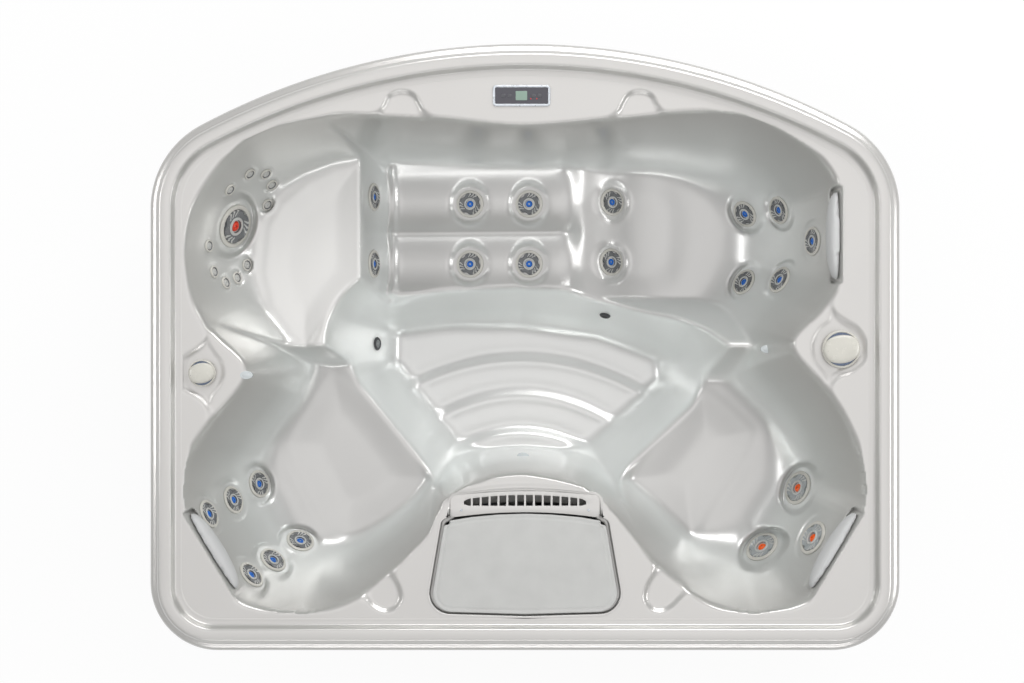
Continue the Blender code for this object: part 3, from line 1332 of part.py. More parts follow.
def make_pump():
    x = FRAME_INSET + RAIL_THICKNESS + PUMP_SIDE_SPACE + MOTOR_LENGTH - LENGTH / 2
    y = PUMP_Y_SHARE * WIDTH / 2
    axle = along_x(x, y, PUMP_AXIS_HEIGHT)
    low = BASE_THICKNESS + GAP
    fins = 2 * MOTOR_FINS
    bore = around(ROTOR_SHAFT_RADIUS + RUNNING_CLEARANCE, fins)

    deep = MOTOR_BORE_DEPTH
    end = MOTOR_RADIUS * 0.2
    far = end - MOTOR_LENGTH
    ribs = (MOTOR_RADIUS, MOTOR_RADIUS - MOTOR_FIN_DEPTH)
    rings = [
        [(0.0, 0.0, -MOTOR_LENGTH)], circle(MOTOR_RADIUS * 0.8, -MOTOR_LENGTH, fins),
        circle(MOTOR_RADIUS, far, fins), waved(ribs, far, fins), waved(ribs, -end, fins),
        circle(MOTOR_RADIUS, -end, fins), circle(MOTOR_RADIUS, -GAP, fins),
        circle(bore, -GAP, fins), circle(bore, -deep, fins), [(0.0, 0.0, -deep)],
    ]
    grey = material("motor grey", (0.12, 0.13, 0.14), 0.5)
    motor = place("pump_motor", shifted(smooth(loft("motor", rings)), axle), grey)
    foot = (FOOT_WIDTH, MOTOR_RADIUS * 1.6, PUMP_AXIS_HEIGHT - MOTOR_RADIUS * 0.7 - low)
    spots = [(x - MOTOR_LENGTH * share, y, low) for share in (0.3, 0.75)]
    combine(motor, [box("foot", foot, spot) for spot in spots], "UNION")

    chamber = ROTOR_RADIUS + WET_END_CLEARANCE
    plate, front = WET_END_PLATE, WET_END_LENGTH
    profile = [
        (bore, plate), (bore, 0), (WET_END_RADIUS, 0), (WET_END_RADIUS, front * 0.8),
        (WET_END_RADIUS * 0.8, front), (PORT_RADIUS, front), (PORT_RADIUS, front + PORT_LENGTH),
        (PORT_RADIUS * 0.75, front + PORT_LENGTH),
        (PORT_RADIUS * 0.75, front - plate), (chamber, front - plate), (chamber, plate),
    ]
    black = material("pump black", (0.04, 0.04, 0.045), 0.45)
    wet = place("pump_wet_end", shifted(turned_ring("wet end", profile, fins), axle), black)
    middle, outlet = x + front / 2, PUMP_AXIS_HEIGHT + WET_END_RADIUS + PORT_LENGTH
    riser = [(middle, y, PUMP_AXIS_HEIGHT + WET_END_RADIUS * 0.9), (middle, y, outlet)]
    combine(wet, [tube("outlet", riser, PORT_RADIUS, BODY_SIDES)], "UNION")
    bored = [(middle, y, PUMP_AXIS_HEIGHT + ROTOR_RADIUS * 0.5), (middle, y, outlet + OVERRUN)]
    combine(wet, [tube("outlet bore", bored, PORT_RADIUS * 0.75, BODY_SIDES)], "DIFFERENCE")

    sides, shaft = 2 * ROTOR_VANES, ROTOR_SHAFT_RADIUS
    start, disc = ROTOR_FLOAT - deep, plate + ROTOR_FLOAT
    face = disc + ROTOR_DISC
    tip = face + ROTOR_VANE
    vanes = (ROTOR_RADIUS * 0.97, ROTOR_RADIUS * 0.45)
    rings = [
        [(0.0, 0.0, start)], circle(shaft, start, sides), circle(shaft, disc, sides),
        circle(ROTOR_RADIUS, disc, sides), circle(ROTOR_RADIUS, face, sides),
        waved(vanes, face, sides), waved(vanes, tip, sides), circle(shaft, tip, sides),
        [(0.0, 0.0, tip + shaft)],
    ]
    place("pump_rotor", smooth(loft("rotor", rings)), material("rotor", (0.5, 0.48, 0.42), 0.4), axle)


# Control box on the base with the heater tube clamped along its front
def make_equipment():
    x = LENGTH / 2 - FRAME_INSET - RAIL_THICKNESS - BOX_SIDE_SPACE - BOX_LENGTH / 2
    y = BOX_Y_SHARE * WIDTH / 2
    low = BASE_THICKNESS + GAP
    look = material("equipment", (0.55, 0.56, 0.57), 0.4, 0.3)
    pack = place("equipment_pack", box("equipment", (BOX_LENGTH, BOX_WIDTH, BOX_HEIGHT), (x, y, low)), look)
    height = low + BOX_HEIGHT / 2
    front = y - BOX_WIDTH / 2 - HEATER_RADIUS * 0.8
    nut, half = HEATER_RADIUS * 1.35, HEATER_LENGTH / 2
    profile = [
        (0, -half), (nut, -half), (nut, -half + HEATER_RADIUS), (HEATER_RADIUS, -half + HEATER_RADIUS),
        (HEATER_RADIUS, half - HEATER_RADIUS), (nut, half - HEATER_RADIUS), (nut, half), (0, half),
    ]
    combine(pack, [shifted(turned("heater", profile, BODY_SIDES), along_x(x, front, height))], "UNION")


def main():
    clear_scene()
    groups = {name: pads_for(shares, radius) for name, shares, radius, _ in JET_GROUPS}
    minis = pads_for(MINI_JET_SHARES, MINI_JET_RADIUS, MINI_SIDES)
    fittings = [
        (pads_for([shares], radius)[0], radius)
        for shares, radius in ((SUCTION_SHARES, SUCTION_RADIUS), (SLOT_FITTING_SHARES, SLOT_FITTING_RADIUS))
    ]
    pillows = [PillowPad(shares, heading) for _, shares, heading in PILLOW_PLACES]
    pads = [pad for group in groups.values() for pad in group] + minis + [pad for pad, _ in fittings]
    shell = make_shell(pads, pillows)
    combine(shell, shell_cutters(groups, minis, fittings), "DIFFERENCE")
    make_jets(groups, minis)
    make_fittings(fittings)
    for (name, _, _), pad in zip(PILLOW_PLACES, pillows):
        make_pillow(name, pad)
    make_lid()
    make_grille()
    make_cartridges()
    make_panel()
    make_knob("air_control_knob", AIR_KNOB_SHARES, AIR_KNOB_RADIUS, AIR_KNOB_TURN)
    make_knob("diverter_knob", DIVERTER_SHARES, DIVERTER_RADIUS, DIVERTER_TURN)
    make_base()
    make_frame()
    make_cabinet()
    make_pump()
    make_equipment()


main()
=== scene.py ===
import json
import math

import bmesh
import bpy
import numpy as np
from mathutils import Matrix, Vector


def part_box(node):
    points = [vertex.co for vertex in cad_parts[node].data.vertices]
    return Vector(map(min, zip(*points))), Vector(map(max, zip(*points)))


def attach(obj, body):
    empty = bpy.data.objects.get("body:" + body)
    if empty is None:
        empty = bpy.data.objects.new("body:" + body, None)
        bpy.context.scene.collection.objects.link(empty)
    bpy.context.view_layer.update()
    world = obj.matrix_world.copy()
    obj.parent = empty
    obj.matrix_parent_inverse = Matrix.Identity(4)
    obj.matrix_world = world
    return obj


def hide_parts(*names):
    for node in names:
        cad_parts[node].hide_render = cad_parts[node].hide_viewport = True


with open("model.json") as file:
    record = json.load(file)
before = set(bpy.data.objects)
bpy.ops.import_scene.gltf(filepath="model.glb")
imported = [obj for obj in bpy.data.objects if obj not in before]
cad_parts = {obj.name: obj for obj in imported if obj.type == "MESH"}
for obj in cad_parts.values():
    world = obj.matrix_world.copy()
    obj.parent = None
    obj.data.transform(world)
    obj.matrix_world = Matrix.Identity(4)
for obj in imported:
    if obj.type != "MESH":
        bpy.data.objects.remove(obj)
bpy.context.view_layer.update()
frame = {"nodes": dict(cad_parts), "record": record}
record = frame["record"]


# A socket that can be used in sums: each operator adds the Math node of its name
class Value:
    def __init__(self, nodes, socket):
        self.nodes, self.socket = nodes, socket

    def sum(self, operation, first, second=0.0):
        return self.nodes.add("ShaderNodeMath", {"operation": operation}, {0: first, 1: second})

    def __add__(self, other):
        return self.sum("ADD", self, other)

    def __sub__(self, other):
        return self.sum("SUBTRACT", self, other)

    def __rsub__(self, other):
        return self.sum("SUBTRACT", other, self)

    def __mul__(self, other):
        return self.sum("MULTIPLY", self, other)

    def __truediv__(self, other):
        return self.sum("DIVIDE", self, other)

    def __rtruediv__(self, other):
        return self.sum("DIVIDE", other, self)

    __radd__ = __add__
    __rmul__ = __mul__

    # Never below low nor above high
    def held(self, low, high):
        return self.sum("MAXIMUM", self.sum("MINIMUM", self, high), low)


# A tree of nodes: add takes a node's type, its settings, and the values or links of its sockets
class Nodes:
    def __init__(self, tree):
        self.tree = tree

    def plug(self, socket, value):
        if isinstance(value, Value):
            self.tree.links.new(value.socket, socket)
        else:
            socket.default_value = value

    def add(self, kind, settings=None, sockets=None, out=0):
        node = self.tree.nodes.new(kind)
        for key, value in (settings or {}).items():
            if key == "stops":
                ramp = node.color_ramp
                while len(ramp.elements) < len(value):
                    ramp.elements.new(0.5)
                for stop, (place, colour) in zip(ramp.elements, value):
                    stop.position, stop.color = place, (*colour, 1.0)
            else:
                setattr(node, key, value)
        for key, value in (sockets or {}).items():
            self.plug(node.inputs[key], value)
        return Value(self, node.outputs[out])


# A material with its Principled shader; plain values are set on the shader's own sockets
class Look(Nodes):
    def __init__(self, name, colour, roughness, **plain):
        self.material = bpy.data.materials.new(name)
        self.material.use_nodes = True
        super().__init__(self.material.node_tree)
        self.shader = self.tree.nodes["Principled BSDF"]
        self.set("Base Color", (*colour, 1.0))
        self.set("Roughness", roughness)
        for key, value in plain.items():
            self.set(key.replace("_", " "), value)

    def set(self, key, value):
        self.plug(self.shader.inputs[key], value)

    # Object coordinates
    def spot(self):
        return self.add("ShaderNodeTexCoord", out=3)

    def height(self):
        return self.add("ShaderNodeSeparateXYZ", {}, {0: self.spot()}, 2)

    # Noise whose features are a size across, in metres, before the scale squeezes them
    def noise(self, size, detail=3.0, scale=(1, 1, 1), rough=0.5):
        place = self.add("ShaderNodeMapping", {}, {"Vector": self.spot(), "Scale": scale})
        sockets = {"Vector": place, "Scale": 1 / size, "Detail": detail, "Roughness": rough}
        return self.add("ShaderNodeTexNoise", {}, sockets)

    def mix(self, share, first, second):
        sockets = {"Factor": share}
        for key, colour in ((6, first), (7, second)):
            sockets[key] = colour if isinstance(colour, Value) else (*colour, 1.0)
        return self.add("ShaderNodeMix", {"data_type": "RGBA"}, sockets, 2)

    def bump(self, height, depth, strength=0.4):
        sockets = {"Height": height, "Distance": depth, "Strength": strength}
        self.set("Normal", self.add("ShaderNodeBump", {}, sockets))
        return self


# Finish for moulded plastic: faint mottling, fine grain in the surface, gloss that varies a little
def moulded(name, colour, roughness, grain=0.0012, depth=0.0001, worn=0.08, **plain):
    look = Look(name, colour, roughness, **plain)
    mottle = look.noise(0.05, 4.0)
    dark = tuple(c * (1 - worn) for c in colour)
    pale = tuple(min(1.0, c * (1 + worn)) for c in colour)
    look.set("Base Color", look.mix(mottle, dark, pale))
    look.set("Roughness", (look.noise(0.02) - 0.5) * 0.16 + roughness)
    return look.bump(look.noise(grain, 2.0), depth, 0.35)


# Rows written in millimetres, as an array in metres
def metres(rows):
    return np.array(rows, float) / 1000


# Points after the first along an arc, and along a straight line
def arc(x, y, radius, start, end, steps):
    angles = start + (end - start) * np.arange(1, steps + 1) / steps
    return np.c_[x + radius * np.cos(angles), y + radius * np.sin(angles)]


def straight(start, end, steps):
    return np.array(start) + (np.array(end) - start) * (np.arange(1, steps + 1) / steps)[:, None]


# Closed curve through points: a cubic from each to the next, with slopes taken from the points beside them
def smoothLoop(points, steps=6):
    points = np.array(points, float)
    before, after, beyond = np.roll(points, 1, 0), np.roll(points, -1, 0), np.roll(points, -2, 0)
    share = (np.arange(steps) / steps)[None, :, None]
    a, b = points[:, None], after[:, None]
    c, d = (after - before)[:, None] / 2, (beyond - points)[:, None] / 2
    cubic = (3 * (b - a) - 2 * c - d) * share**2 + (2 * (a - b) + c + d) * share**3
    return (a + c * share + cubic).reshape(-1, 2)


# Closed loop of straight sides with each corner rounded by its radius
def roundedLoop(corners, radii, steps=6):
    loop = []
    for i, radius in enumerate(radii):
        here = Vector(corners[i])
        back = (Vector(corners[i - 1]) - here).normalized()
        ahead = (Vector(corners[(i + 1) % len(corners)]) - here).normalized()
        half = back.angle(ahead) / 2
        if radius == 0 or half > math.radians(88):
            loop.append(tuple(here))
            continue
        reach = radius / math.tan(half)
        centre = here + (back + ahead).normalized() * radius / math.sin(half)
        first, last = here + back * reach, here + ahead * reach
        start = math.atan2(first.y - centre.y, first.x - centre.x)
        sweep = math.remainder(math.atan2(last.y - centre.y, last.x - centre.x) - start, 2 * math.pi)
        angles = start + sweep * np.arange(steps + 1) / steps
        loop.extend(zip(centre.x + radius * np.cos(angles), centre.y + radius * np.sin(angles)))
    return np.array(loop)


# Loop moved outwards by a distance along its own normals
def offsetLoop(loop, distance):
    along = np.roll(loop, -1, 0) - np.roll(loop, 1, 0)
    along /= np.linalg.norm(along, axis=1, keepdims=True)
    x, y = loop.T
    way = np.sign(np.sum(x * np.roll(y, -1) - y * np.roll(x, -1)))
    return loop + np.c_[along[:, 1], -along[:, 0]] * way * distance


# Distance from points to a closed loop, negative inside it
def loopDistance(points, loop):
    least = np.full(len(points), np.inf)
    inside = np.zeros(len(points), bool)
    px, py = points.T
    for (ax, ay), (bx, by) in zip(loop, np.roll(loop, -1, 0)):
        sx, sy = bx - ax, by - ay
        ex, ey = px - ax, py - ay
        share = np.clip((ex * sx + ey * sy) / max(sx * sx + sy * sy, 1e-12), 0, 1)
        least = np.minimum(least, (ex - share * sx) ** 2 + (ey - share * sy) ** 2)
        if ay != by:
            inside ^= ((ay > py) != (by > py)) & (px < ax + ey * sx / sy)
    least = np.sqrt(least)
    return np.where(inside, -least, least)


# Smaller of two heights, with the crease between them rounded over a reach
def softMin(a, b, reach):
    share = np.clip(0.5 + 0.5 * (b - a) / reach, 0, 1)
    return b * (1 - share) + a * share - reach * share * (1 - share)


def softMax(a, b, reach):
    return -softMin(-a, -b, reach)


# Smooth step from 0 at low to 1 at high: 3 t^2 - 2 t^3
def ease(value, low, high):
    share = np.clip((value - low) / (high - low), 0, 1)
    return share * share * (3 - 2 * share)


# Bell curve of height 1
def hump(value, width):
    return np.exp(-((value / width) ** 2))


tub = {
    "length": 2.10, "width": 1.70, "height": 0.76, "deckDrop": 0.022,
    "backRadius": 1.93, "backCorner": 0.265, "frontCorner": 0.19,
}
deck = tub["height"] - tub["deckDrop"]
halfPlan = (tub["length"] / 2, tub["width"] / 2)


# Tub's plan at a distance in from the lip, counterclockwise from the middle of the front
def tubPlan(inset, cornerSteps=22, archSteps=70, sideSteps=60):
    half = tub["length"] / 2 - inset
    front = -tub["width"] / 2 + inset
    archY = tub["width"] / 2 - tub["backRadius"]
    radius = tub["backRadius"] - inset
    corner, low = tub["backCorner"] - inset, tub["frontCorner"] - inset
    cornerX = half - corner
    cornerY = archY + math.sqrt((radius - corner) ** 2 - cornerX**2)
    reach = math.atan2(cornerY - archY, cornerX)
    right = [
        straight((0.0, front), (half - low, front), sideSteps),
        arc(half - low, front + low, low, -math.pi / 2, 0.0, cornerSteps),
        straight((half, front + low), (half, cornerY), sideSteps),
        arc(cornerX, cornerY, corner, 0.0, reach, cornerSteps),
        arc(0.0, archY, radius, reach, math.pi / 2, archSteps),
    ]
    right = np.vstack([[(0.0, front)]] + right)
    return np.vstack([right, right[-2:0:-1] * (-1, 1)])


# Points of a loop in plan, all at one height
def raised(loop, height):
    return np.c_[loop, np.full(len(loop), height)]


# One value or one row of values for each vertex, corner or face
def read(items, key, width=1, kind=np.float32):
    values = np.empty(len(items) * width, kind)
    items.foreach_get(key, values)
    return values.reshape(-1, width) if width > 1 else values


# A mesh of four-sided faces on the points that they use
def meshFrom(points, quads, normals=None):
    used, flat = np.unique(quads, return_inverse=True)
    quads = flat.reshape(quads.shape)
    mesh = bpy.data.meshes.new("part")
    mesh.vertices.add(len(used))
    mesh.vertices.foreach_set("co", points[used].astype(np.float32).ravel())
    mesh.loops.add(quads.size)
    mesh.loops.foreach_set("vertex_index", quads.astype(np.int32).ravel())
    mesh.polygons.add(len(quads))
    mesh.polygons.foreach_set("loop_start", np.arange(len(quads), dtype=np.int32) * 4)
    mesh.update(calc_edges=True)
    mesh.validate()
    mesh.shade_smooth()
    if normals is not None:
        mesh.normals_split_custom_set_from_vertices(normals[used].astype(np.float32))
    return mesh


# A mesh from a grid of points (rows, columns, 3); either way may close on itself
def gridMesh(grid, closeRows=False, closeColumns=False, normals=None, kept=None):
    rows, columns = grid.shape[:2]
    number = np.arange(rows * columns).reshape(rows, columns)
    if closeRows:
        number = np.vstack([number, number[:1]])
    if closeColumns:
        number = np.hstack([number, number[:, :1]])
    quads = np.stack([number[:-1, :-1], number[:-1, 1:], number[1:, 1:], number[1:, :-1]], -1)
    quads = quads[kept] if kept is not None else quads.reshape(-1, 4)
    return meshFrom(grid.reshape(-1, 3), quads, None if normals is None else normals.reshape(-1, 3))


# Closed rings of equal count, one after the other
def ringMesh(rings):
    return gridMesh(np.stack(rings), closeColumns=True)


# Parts (mesh, place, number) as one mesh; the number moves the part's finishes along the piece's list
def joined(parts):
    spots, quads, looks, shift = [], [], [], 0
    for mesh, matrix, look in parts:
        co = read(mesh.vertices, "co", 3)
        if matrix is not None:
            turn = np.array(matrix)
            co = co @ turn[:3, :3].T + turn[:3, 3]
        spots.append(co)
        quads.append(read(mesh.loops, "vertex_index", kind=np.int32).reshape(-1, 4) + shift)
        looks.append(read(mesh.polygons, "material_index", kind=np.int32) + look)
        shift += len(co)
    mesh = meshFrom(np.vstack(spots), np.vstack(quads))
    mesh.polygons.foreach_set("material_index", np.concatenate(looks))
    return mesh


def linked(name, data):
    thing = bpy.data.objects.new(name, data)
    bpy.context.scene.collection.objects.link(thing)
    return thing


# One piece: its mesh or list of parts, its finishes, the body it rides on and the nodes it stands for
def piece(name, mesh, looks, body, nodes=()):
    if isinstance(mesh, list):
        mesh = joined(mesh)
    mesh.name = name
    thing = linked(name, mesh)
    for look in looks if isinstance(looks, list) else [looks]:
        mesh.materials.append(look.material)
    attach(thing, body)
    if nodes:
        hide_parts(*nodes)
    return thing


shellTable = {
    "edgeRound": 0.011, "seatRound": 0.026, "lift": 0.006, "pitch": 0.004, "gridInset": 0.098,
    "backCurve": 1.6, "narrowRun": 0.08, "wideRun": 0.28, "footSlope": 3.2, "sideSlope": 1.7,
    "cornerSeat": 0.48, "lowSeat": 0.34, "footwell": 0.10, "footwellSlope": 2.3, "recess": 0.008,
    "leftLimit": -0.047, "rightLimit": -0.0935, "leftSlope": 3.2, "ridge": 0.0045,
    "gridReach": (0.956, 0.756), "smoothing": 5,
}

# Edge of the well, in thousandths of half the tub's plan
openingEdge = smoothLoop(metres([
    (-13, 718), (217, 741), (375, 760), (512, 767), (615, 744), (721, 675), (790, 607), (832, 512),
    (840, 375), (835, 225), (782, 117), (705, 7), (795, -134), (851, -245), (890, -372), (895, -520),
    (832, -675), (761, -815), (650, -860), (581, -865), (499, -840), (431, -790), (346, -705), (285, -600),
    (222, -515), (132, -440), (29, -408), (-40, -405), (-111, -425), (-217, -500), (-256, -594),
    (-346, -715), (-438, -810), (-544, -860), (-623, -865), (-703, -850), (-771, -810), (-837, -682),
    (-892, -545), (-898, -431), (-880, -333), (-832, -245), (-734, -82), (-814, 36), (-845, 78),
    (-885, 183), (-900, 320), (-885, 434), (-845, 532), (-782, 630), (-716, 695), (-615, 734), (-499, 754),
    (-417, 754), (-238, 744)
]) * halfPlan)
cornerPan = roundedLoop(metres([
    (-468, 562), (-468, 205), (-640, -30), (-695, 18), (-754, 106), (-783, 214), (-768, 361), (-724, 436),
    (-640, 505), (-557, 545)
]), metres((20, 60, 18, 30, 50, 40, 50, 40, 80, 80)), 5)
leftPan = smoothLoop(metres([
    (-567, -48), (-462, -118), (-383, -205), (-314, -302), (-262, -392), (-293, -453), (-371, -519),
    (-462, -570), (-549, -585), (-625, -534), (-685, -432), (-736, -311), (-727, -250), (-670, -154),
    (-613, -69)
]), 5)
rightPan = smoothLoop(metres([
    (528, -100), (594, -136), (664, -199), (703, -250), (685, -317), (643, -395), (582, -486), (534, -561),
    (492, -582), (432, -528), (362, -471), (293, -416), (293, -383), (347, -317), (407, -244), (468, -160)
]), 5)
loungePan = smoothLoop(metres([
    (-411, 300), (-411, 500), (-395, 552), (-300, 556), (0, 553), (153, 551), (352, 561), (470, 525),
    (528, 440), (536, 340), (515, 230), (460, 160), (352, 119), (153, 130), (-100, 145), (-395, 158),
    (-411, 190)
]), 5)
footwellFloor = roundedLoop(metres([
    (-415, 53.5), (-415, -47.6), (-203, -306), (-110, -321), (0, -316), (110, -321), (199, -306),
    (430.5, -102), (425, -29), (237, 42.5), (-16, 76.5), (-237, 76.5)
]), metres((35, 50, 50, 0, 0, 0, 50, 40, 50, 100, 100, 100)), 5)
# Dishes in the deck: bells in its corners, and a dish with a deeper pad under each knob
bells = [smoothLoop(metres([
    (-462, 600), (-443, 643), (-408, 664), (-393, 691), (-383, 713), (-367, 726), (-346, 732), (-319, 728),
    (-301, 713), (-290, 691), (-276, 662), (-245, 631), (-232, 600)
]), 4) * (1, 0.87) + (0, 0.078)]
bells.append((bells[0] * (-1, 1) + (-0.024, 0))[::-1])
bells.append(smoothLoop(metres([
    (-472, -660), (-438, -708), (-415, -728), (-389, -737), (-363, -731), (-344, -711), (-340, -685),
    (-349, -656), (-365, -628), (-378, -600), (-420, -600)
]), 4))
bells.append((bells[2] * (-1, 1) + (-0.012, 0))[::-1])
knobDishes = [smoothLoop(metres(points), 4) for points in ([
    (-878, 90), (-885, 49), (-891, 24), (-920, -2), (-953, -25), (-965, -52), (-967, -83), (-955, -118),
    (-924, -138), (-900, -155), (-885, -176), (-870, -210), (-820, -170), (-755, -119), (-740, -70),
    (-763, -30), (-832, 47),
], [
    (860, 170), (856, 129), (867, 100), (896, 79), (929, 58), (950, 25), (955, -8), (946, -46), (912, -75),
    (879, -87), (858, -108), (854, -133), (870, -190), (818, -147), (735, -50), (705, 6), (735, 61),
    (804, 130),
])]
knobPads = [smoothLoop(metres(points), 4) for points in ([
    (-880, 33), (-878, 14), (-861, -13), (-842, -40), (-836, -72), (-846, -107), (-867, -134), (-880, -160),
    (-896, -141), (-924, -124), (-943, -99), (-947, -64), (-937, -29), (-908, -6), (-889, 12),
], [
    (851, 106), (846, 78), (821, 58), (802, 29), (796, -4), (804, -42), (829, -75), (842, -105), (853, -84),
    (868, -72), (896, -58), (929, -39), (942, -8), (935, 25), (918, 47), (888, 65), (863, 86),
])]
dishes = ((bells, 1.4, -0.003, 0.014), (knobDishes, 0.8, -0.002, 0.015), (knobPads, 0.45, -0.005, 0.010))


# A flat place in the wall for a jet or fitting: its middle, the way it faces and its radius
class Seat:
    def __init__(self, spot, out, radius):
        self.spot, self.out, self.radius = Vector(spot), Vector(out).normalized(), radius
        self.east, self.north = -self.out.x / self.out.z, -self.out.y / self.out.z

    # Height of the flat place under points in plan, and their distance from its middle along it
    def plane(self, points):
        east, north = points[:, 0] - self.spot.x, points[:, 1] - self.spot.y
        return self.spot.z + self.east * east + self.north * north

    def distance(self, points):
        east, north = points[:, 0] - self.spot.x, points[:, 1] - self.spot.y
        return np.sqrt(east**2 + north**2 + (self.east * east + self.north * north) ** 2)

    # Place of a fitting: its Z out of the wall, its X level
    def matrix(self):
        level = Vector((0, 0, 1)).cross(self.out)
        level = level.normalized() if level.length > 0.05 else Vector((1, 0, 0))
        level = (level - self.out * level.dot(self.out)).normalized()
        turn = Matrix((level, self.out.cross(level), self.out)).transposed().to_4x4()
        return Matrix.Translation(self.spot) @ turn


# Share of the way from a pan's edge to the edge of the well, raised to a power that grows with the run
def wallRise(beyond, toEdge, soft=0.012):
    away = np.where(beyond > soft, beyond, np.clip(beyond + soft, 0, None) ** 2 / (4 * soft))
    run = away + np.clip(toEdge, 0, None) + 1e-9
    curve = shellTable["backCurve"] * ease(run, 0.6 * shellTable["narrowRun"], 1.1 * shellTable["wideRun"])
    return (away / run) ** (1 + curve)


# A seat: dished pan whose border stands a little proud, then the wall up to the deck
def seatHeight(points, pan, level, toEdge, soft=0.012, proud=0.007, dish=0.012):
    beyond = loopDistance(points, pan)
    pad = proud * ease(beyond, -0.030, 0.0) - dish * ease(-beyond, 0.0, 0.085 + soft)
    return level + pad + (deck - level - proud) * wallRise(beyond, toEdge, soft)


loungeTable = {
    "stations": (-0.413, -0.105, 0.153, 0.2625, 0.378, 0.4935),
    "heights": (0.275, 0.31, 0.34, 0.295, 0.262, 0.275), "blend": 0.07,
    "legs": (0.4352, 0.2525), "legHalf": 0.0915, "legRise": 0.030, "legDrop": 0.002,
    "knee": 0.006, "hips": 0.016, "bolster": 0.016, "footEnd": -0.4148, "frontSide": 0.1445,
}


# The lounge: a level along x by stations, with leg channels, knee, hips and bolster, inside its own walls
def loungeHeight(points, toEdge):
    x, y = points.T
    near = np.linspace(-loungeTable["blend"], loungeTable["blend"], 13)
    level = np.mean([np.interp(x + s, loungeTable["stations"], loungeTable["heights"]) for s in near], 0)
    beyond = loopDistance(points, loungePan)
    trough = np.min([np.abs(y - middle) for middle in loungeTable["legs"]], 0)
    legs = ease(-x, -0.185, -0.09)
    channel = loungeTable["legRise"] * np.clip(trough / loungeTable["legHalf"], 0, 1.2) ** 2 * legs
    channel -= loungeTable["legDrop"] * legs
    knee = loungeTable["knee"] * hump(x - 0.135, 0.03) * ease(-beyond, 0.0, 0.05)
    hips = -loungeTable["hips"] * ease(-beyond, 0.0, 0.12) * (1 - legs)
    back = level + (deck - level) * wallRise(beyond, toEdge, 0.012 + 0.033 * ease(x, 0.14, 0.28))
    back = back + (channel + knee + hips) * ease(-beyond, -0.02, 0.006)
    foot = level + shellTable["footSlope"] * (loungeTable["footEnd"] - x)
    side = level + shellTable["sideSlope"] * (loungeTable["frontSide"] - y)
    bolster = loungeTable["bolster"] * hump(x + 0.404, 0.012) * ease(-beyond, -0.01, 0.01)
    return softMax(softMax(back, foot, 0.012), side, 0.010) + bolster * legs


footwellTable = {
    "steps": ((-0.047, 0.72, 0.010), (-0.158, 1.05, 0.010), (-0.277, 1.35, 0.016)),  # (edge, bow, rise)
    "bowMiddle": -0.012, "bead": 0.0034, "groove": 0.0022,
}


# Steps of the floor: each rises towards the filter with a small bead along its upper edge
def footwellHeight(points, toEdge):
    x, y = points.T
    level = shellTable["footwell"] + 0.0 * x
    beyond = loopDistance(points, footwellFloor)
    middle = ease(-beyond, -0.005, 0.035)
    for top, bow, rise in footwellTable["steps"]:
        past = top - bow * (x - footwellTable["bowMiddle"]) ** 2 - y
        level = level + rise * ease(past, -0.036, 0.0)
        level = level + footwellTable["bead"] * middle * hump(past - 0.003, 0.011)
        level = level - footwellTable["groove"] * middle * hump(past + 0.040, 0.013)
    slope = shellTable["footwell"] + shellTable["footwellSlope"] * beyond
    floor = softMax(level, slope, 0.10)
    return softMax(floor, level + (deck - level) * wallRise(beyond, toEdge) ** 2, 0.03)


# The well: the least of corner seat, lounge, both low seats and footwell, with rounded ridges between them
def bowlHeight(points, toEdge):
    low, seatRound = shellTable["lowSeat"], shellTable["seatRound"]
    corner = seatHeight(points, cornerPan, shellTable["cornerSeat"], toEdge)
    bowl = softMin(corner, loungeHeight(points, toEdge), 0.018)
    for pan, limit, slope in ((leftPan, "leftLimit", "leftSlope"), (rightPan, "rightLimit", "sideSlope")):
        seat = seatHeight(points, pan, low, toEdge, 0.045, 0.004, 0.018)
        side = low + shellTable[slope] * (points[:, 1] - shellTable[limit])
        bowl = softMin(bowl, softMax(seat, side, 0.04), seatRound)
    bowl = softMin(bowl, footwellHeight(points, toEdge), seatRound)
    return bowl + shellTable["lift"] * ease(toEdge, 0.0, 0.05)


# The deck round the well: flat, with dishes stepped into it and a ridge in front of the weir
def deckHeight(points):
    height = np.full(len(points), deck)
    for loops, share, low, high in dishes:
        for loop in loops:
            height = height - shellTable["recess"] * share * ease(-loopDistance(points, loop), low, high)
    x, y = points.T
    away = y + 0.388 + 0.62 * x**2
    return height + shellTable["ridge"] * hump(away, 0.007) * ease(0.27 - np.abs(x), 0.0, 0.03)


# Deck and well joined by a rounded edge
def bareHeight(points):
    toEdge = -loopDistance(points, openingEdge)
    bowl = bowlHeight(points, toEdge)
    bowl = np.where(toEdge > 0, bowl, deck - toEdge * 2.5)
    return softMin(deckHeight(points), bowl, shellTable["edgeRound"])


def heightAt(x, y):
    return float(bareHeight(np.array([(x, y)], float))[0])


fittings = {"steepest": 2.1, "steepens": 1.2, "sunk": 0.003}


# A flat place for a fitting, leaned back a little more than the wall it sits in
def seatAt(x, y, radius):
    reach = radius / 2
    east = (heightAt(x + reach, y) - heightAt(x - reach, y)) / radius
    north = (heightAt(x, y + reach) - heightAt(x, y - reach)) / radius
    slope = math.hypot(east, north) + 1e-9
    steep = max(slope, fittings["steepest"] * math.tanh(slope / fittings["steepens"]))
    down = (steep - slope) * radius / math.hypot(1, steep) + fittings["sunk"]
    return Seat((x, y, heightAt(x, y) - down), (-east * steep / slope, -north * steep / slope, 1), radius)


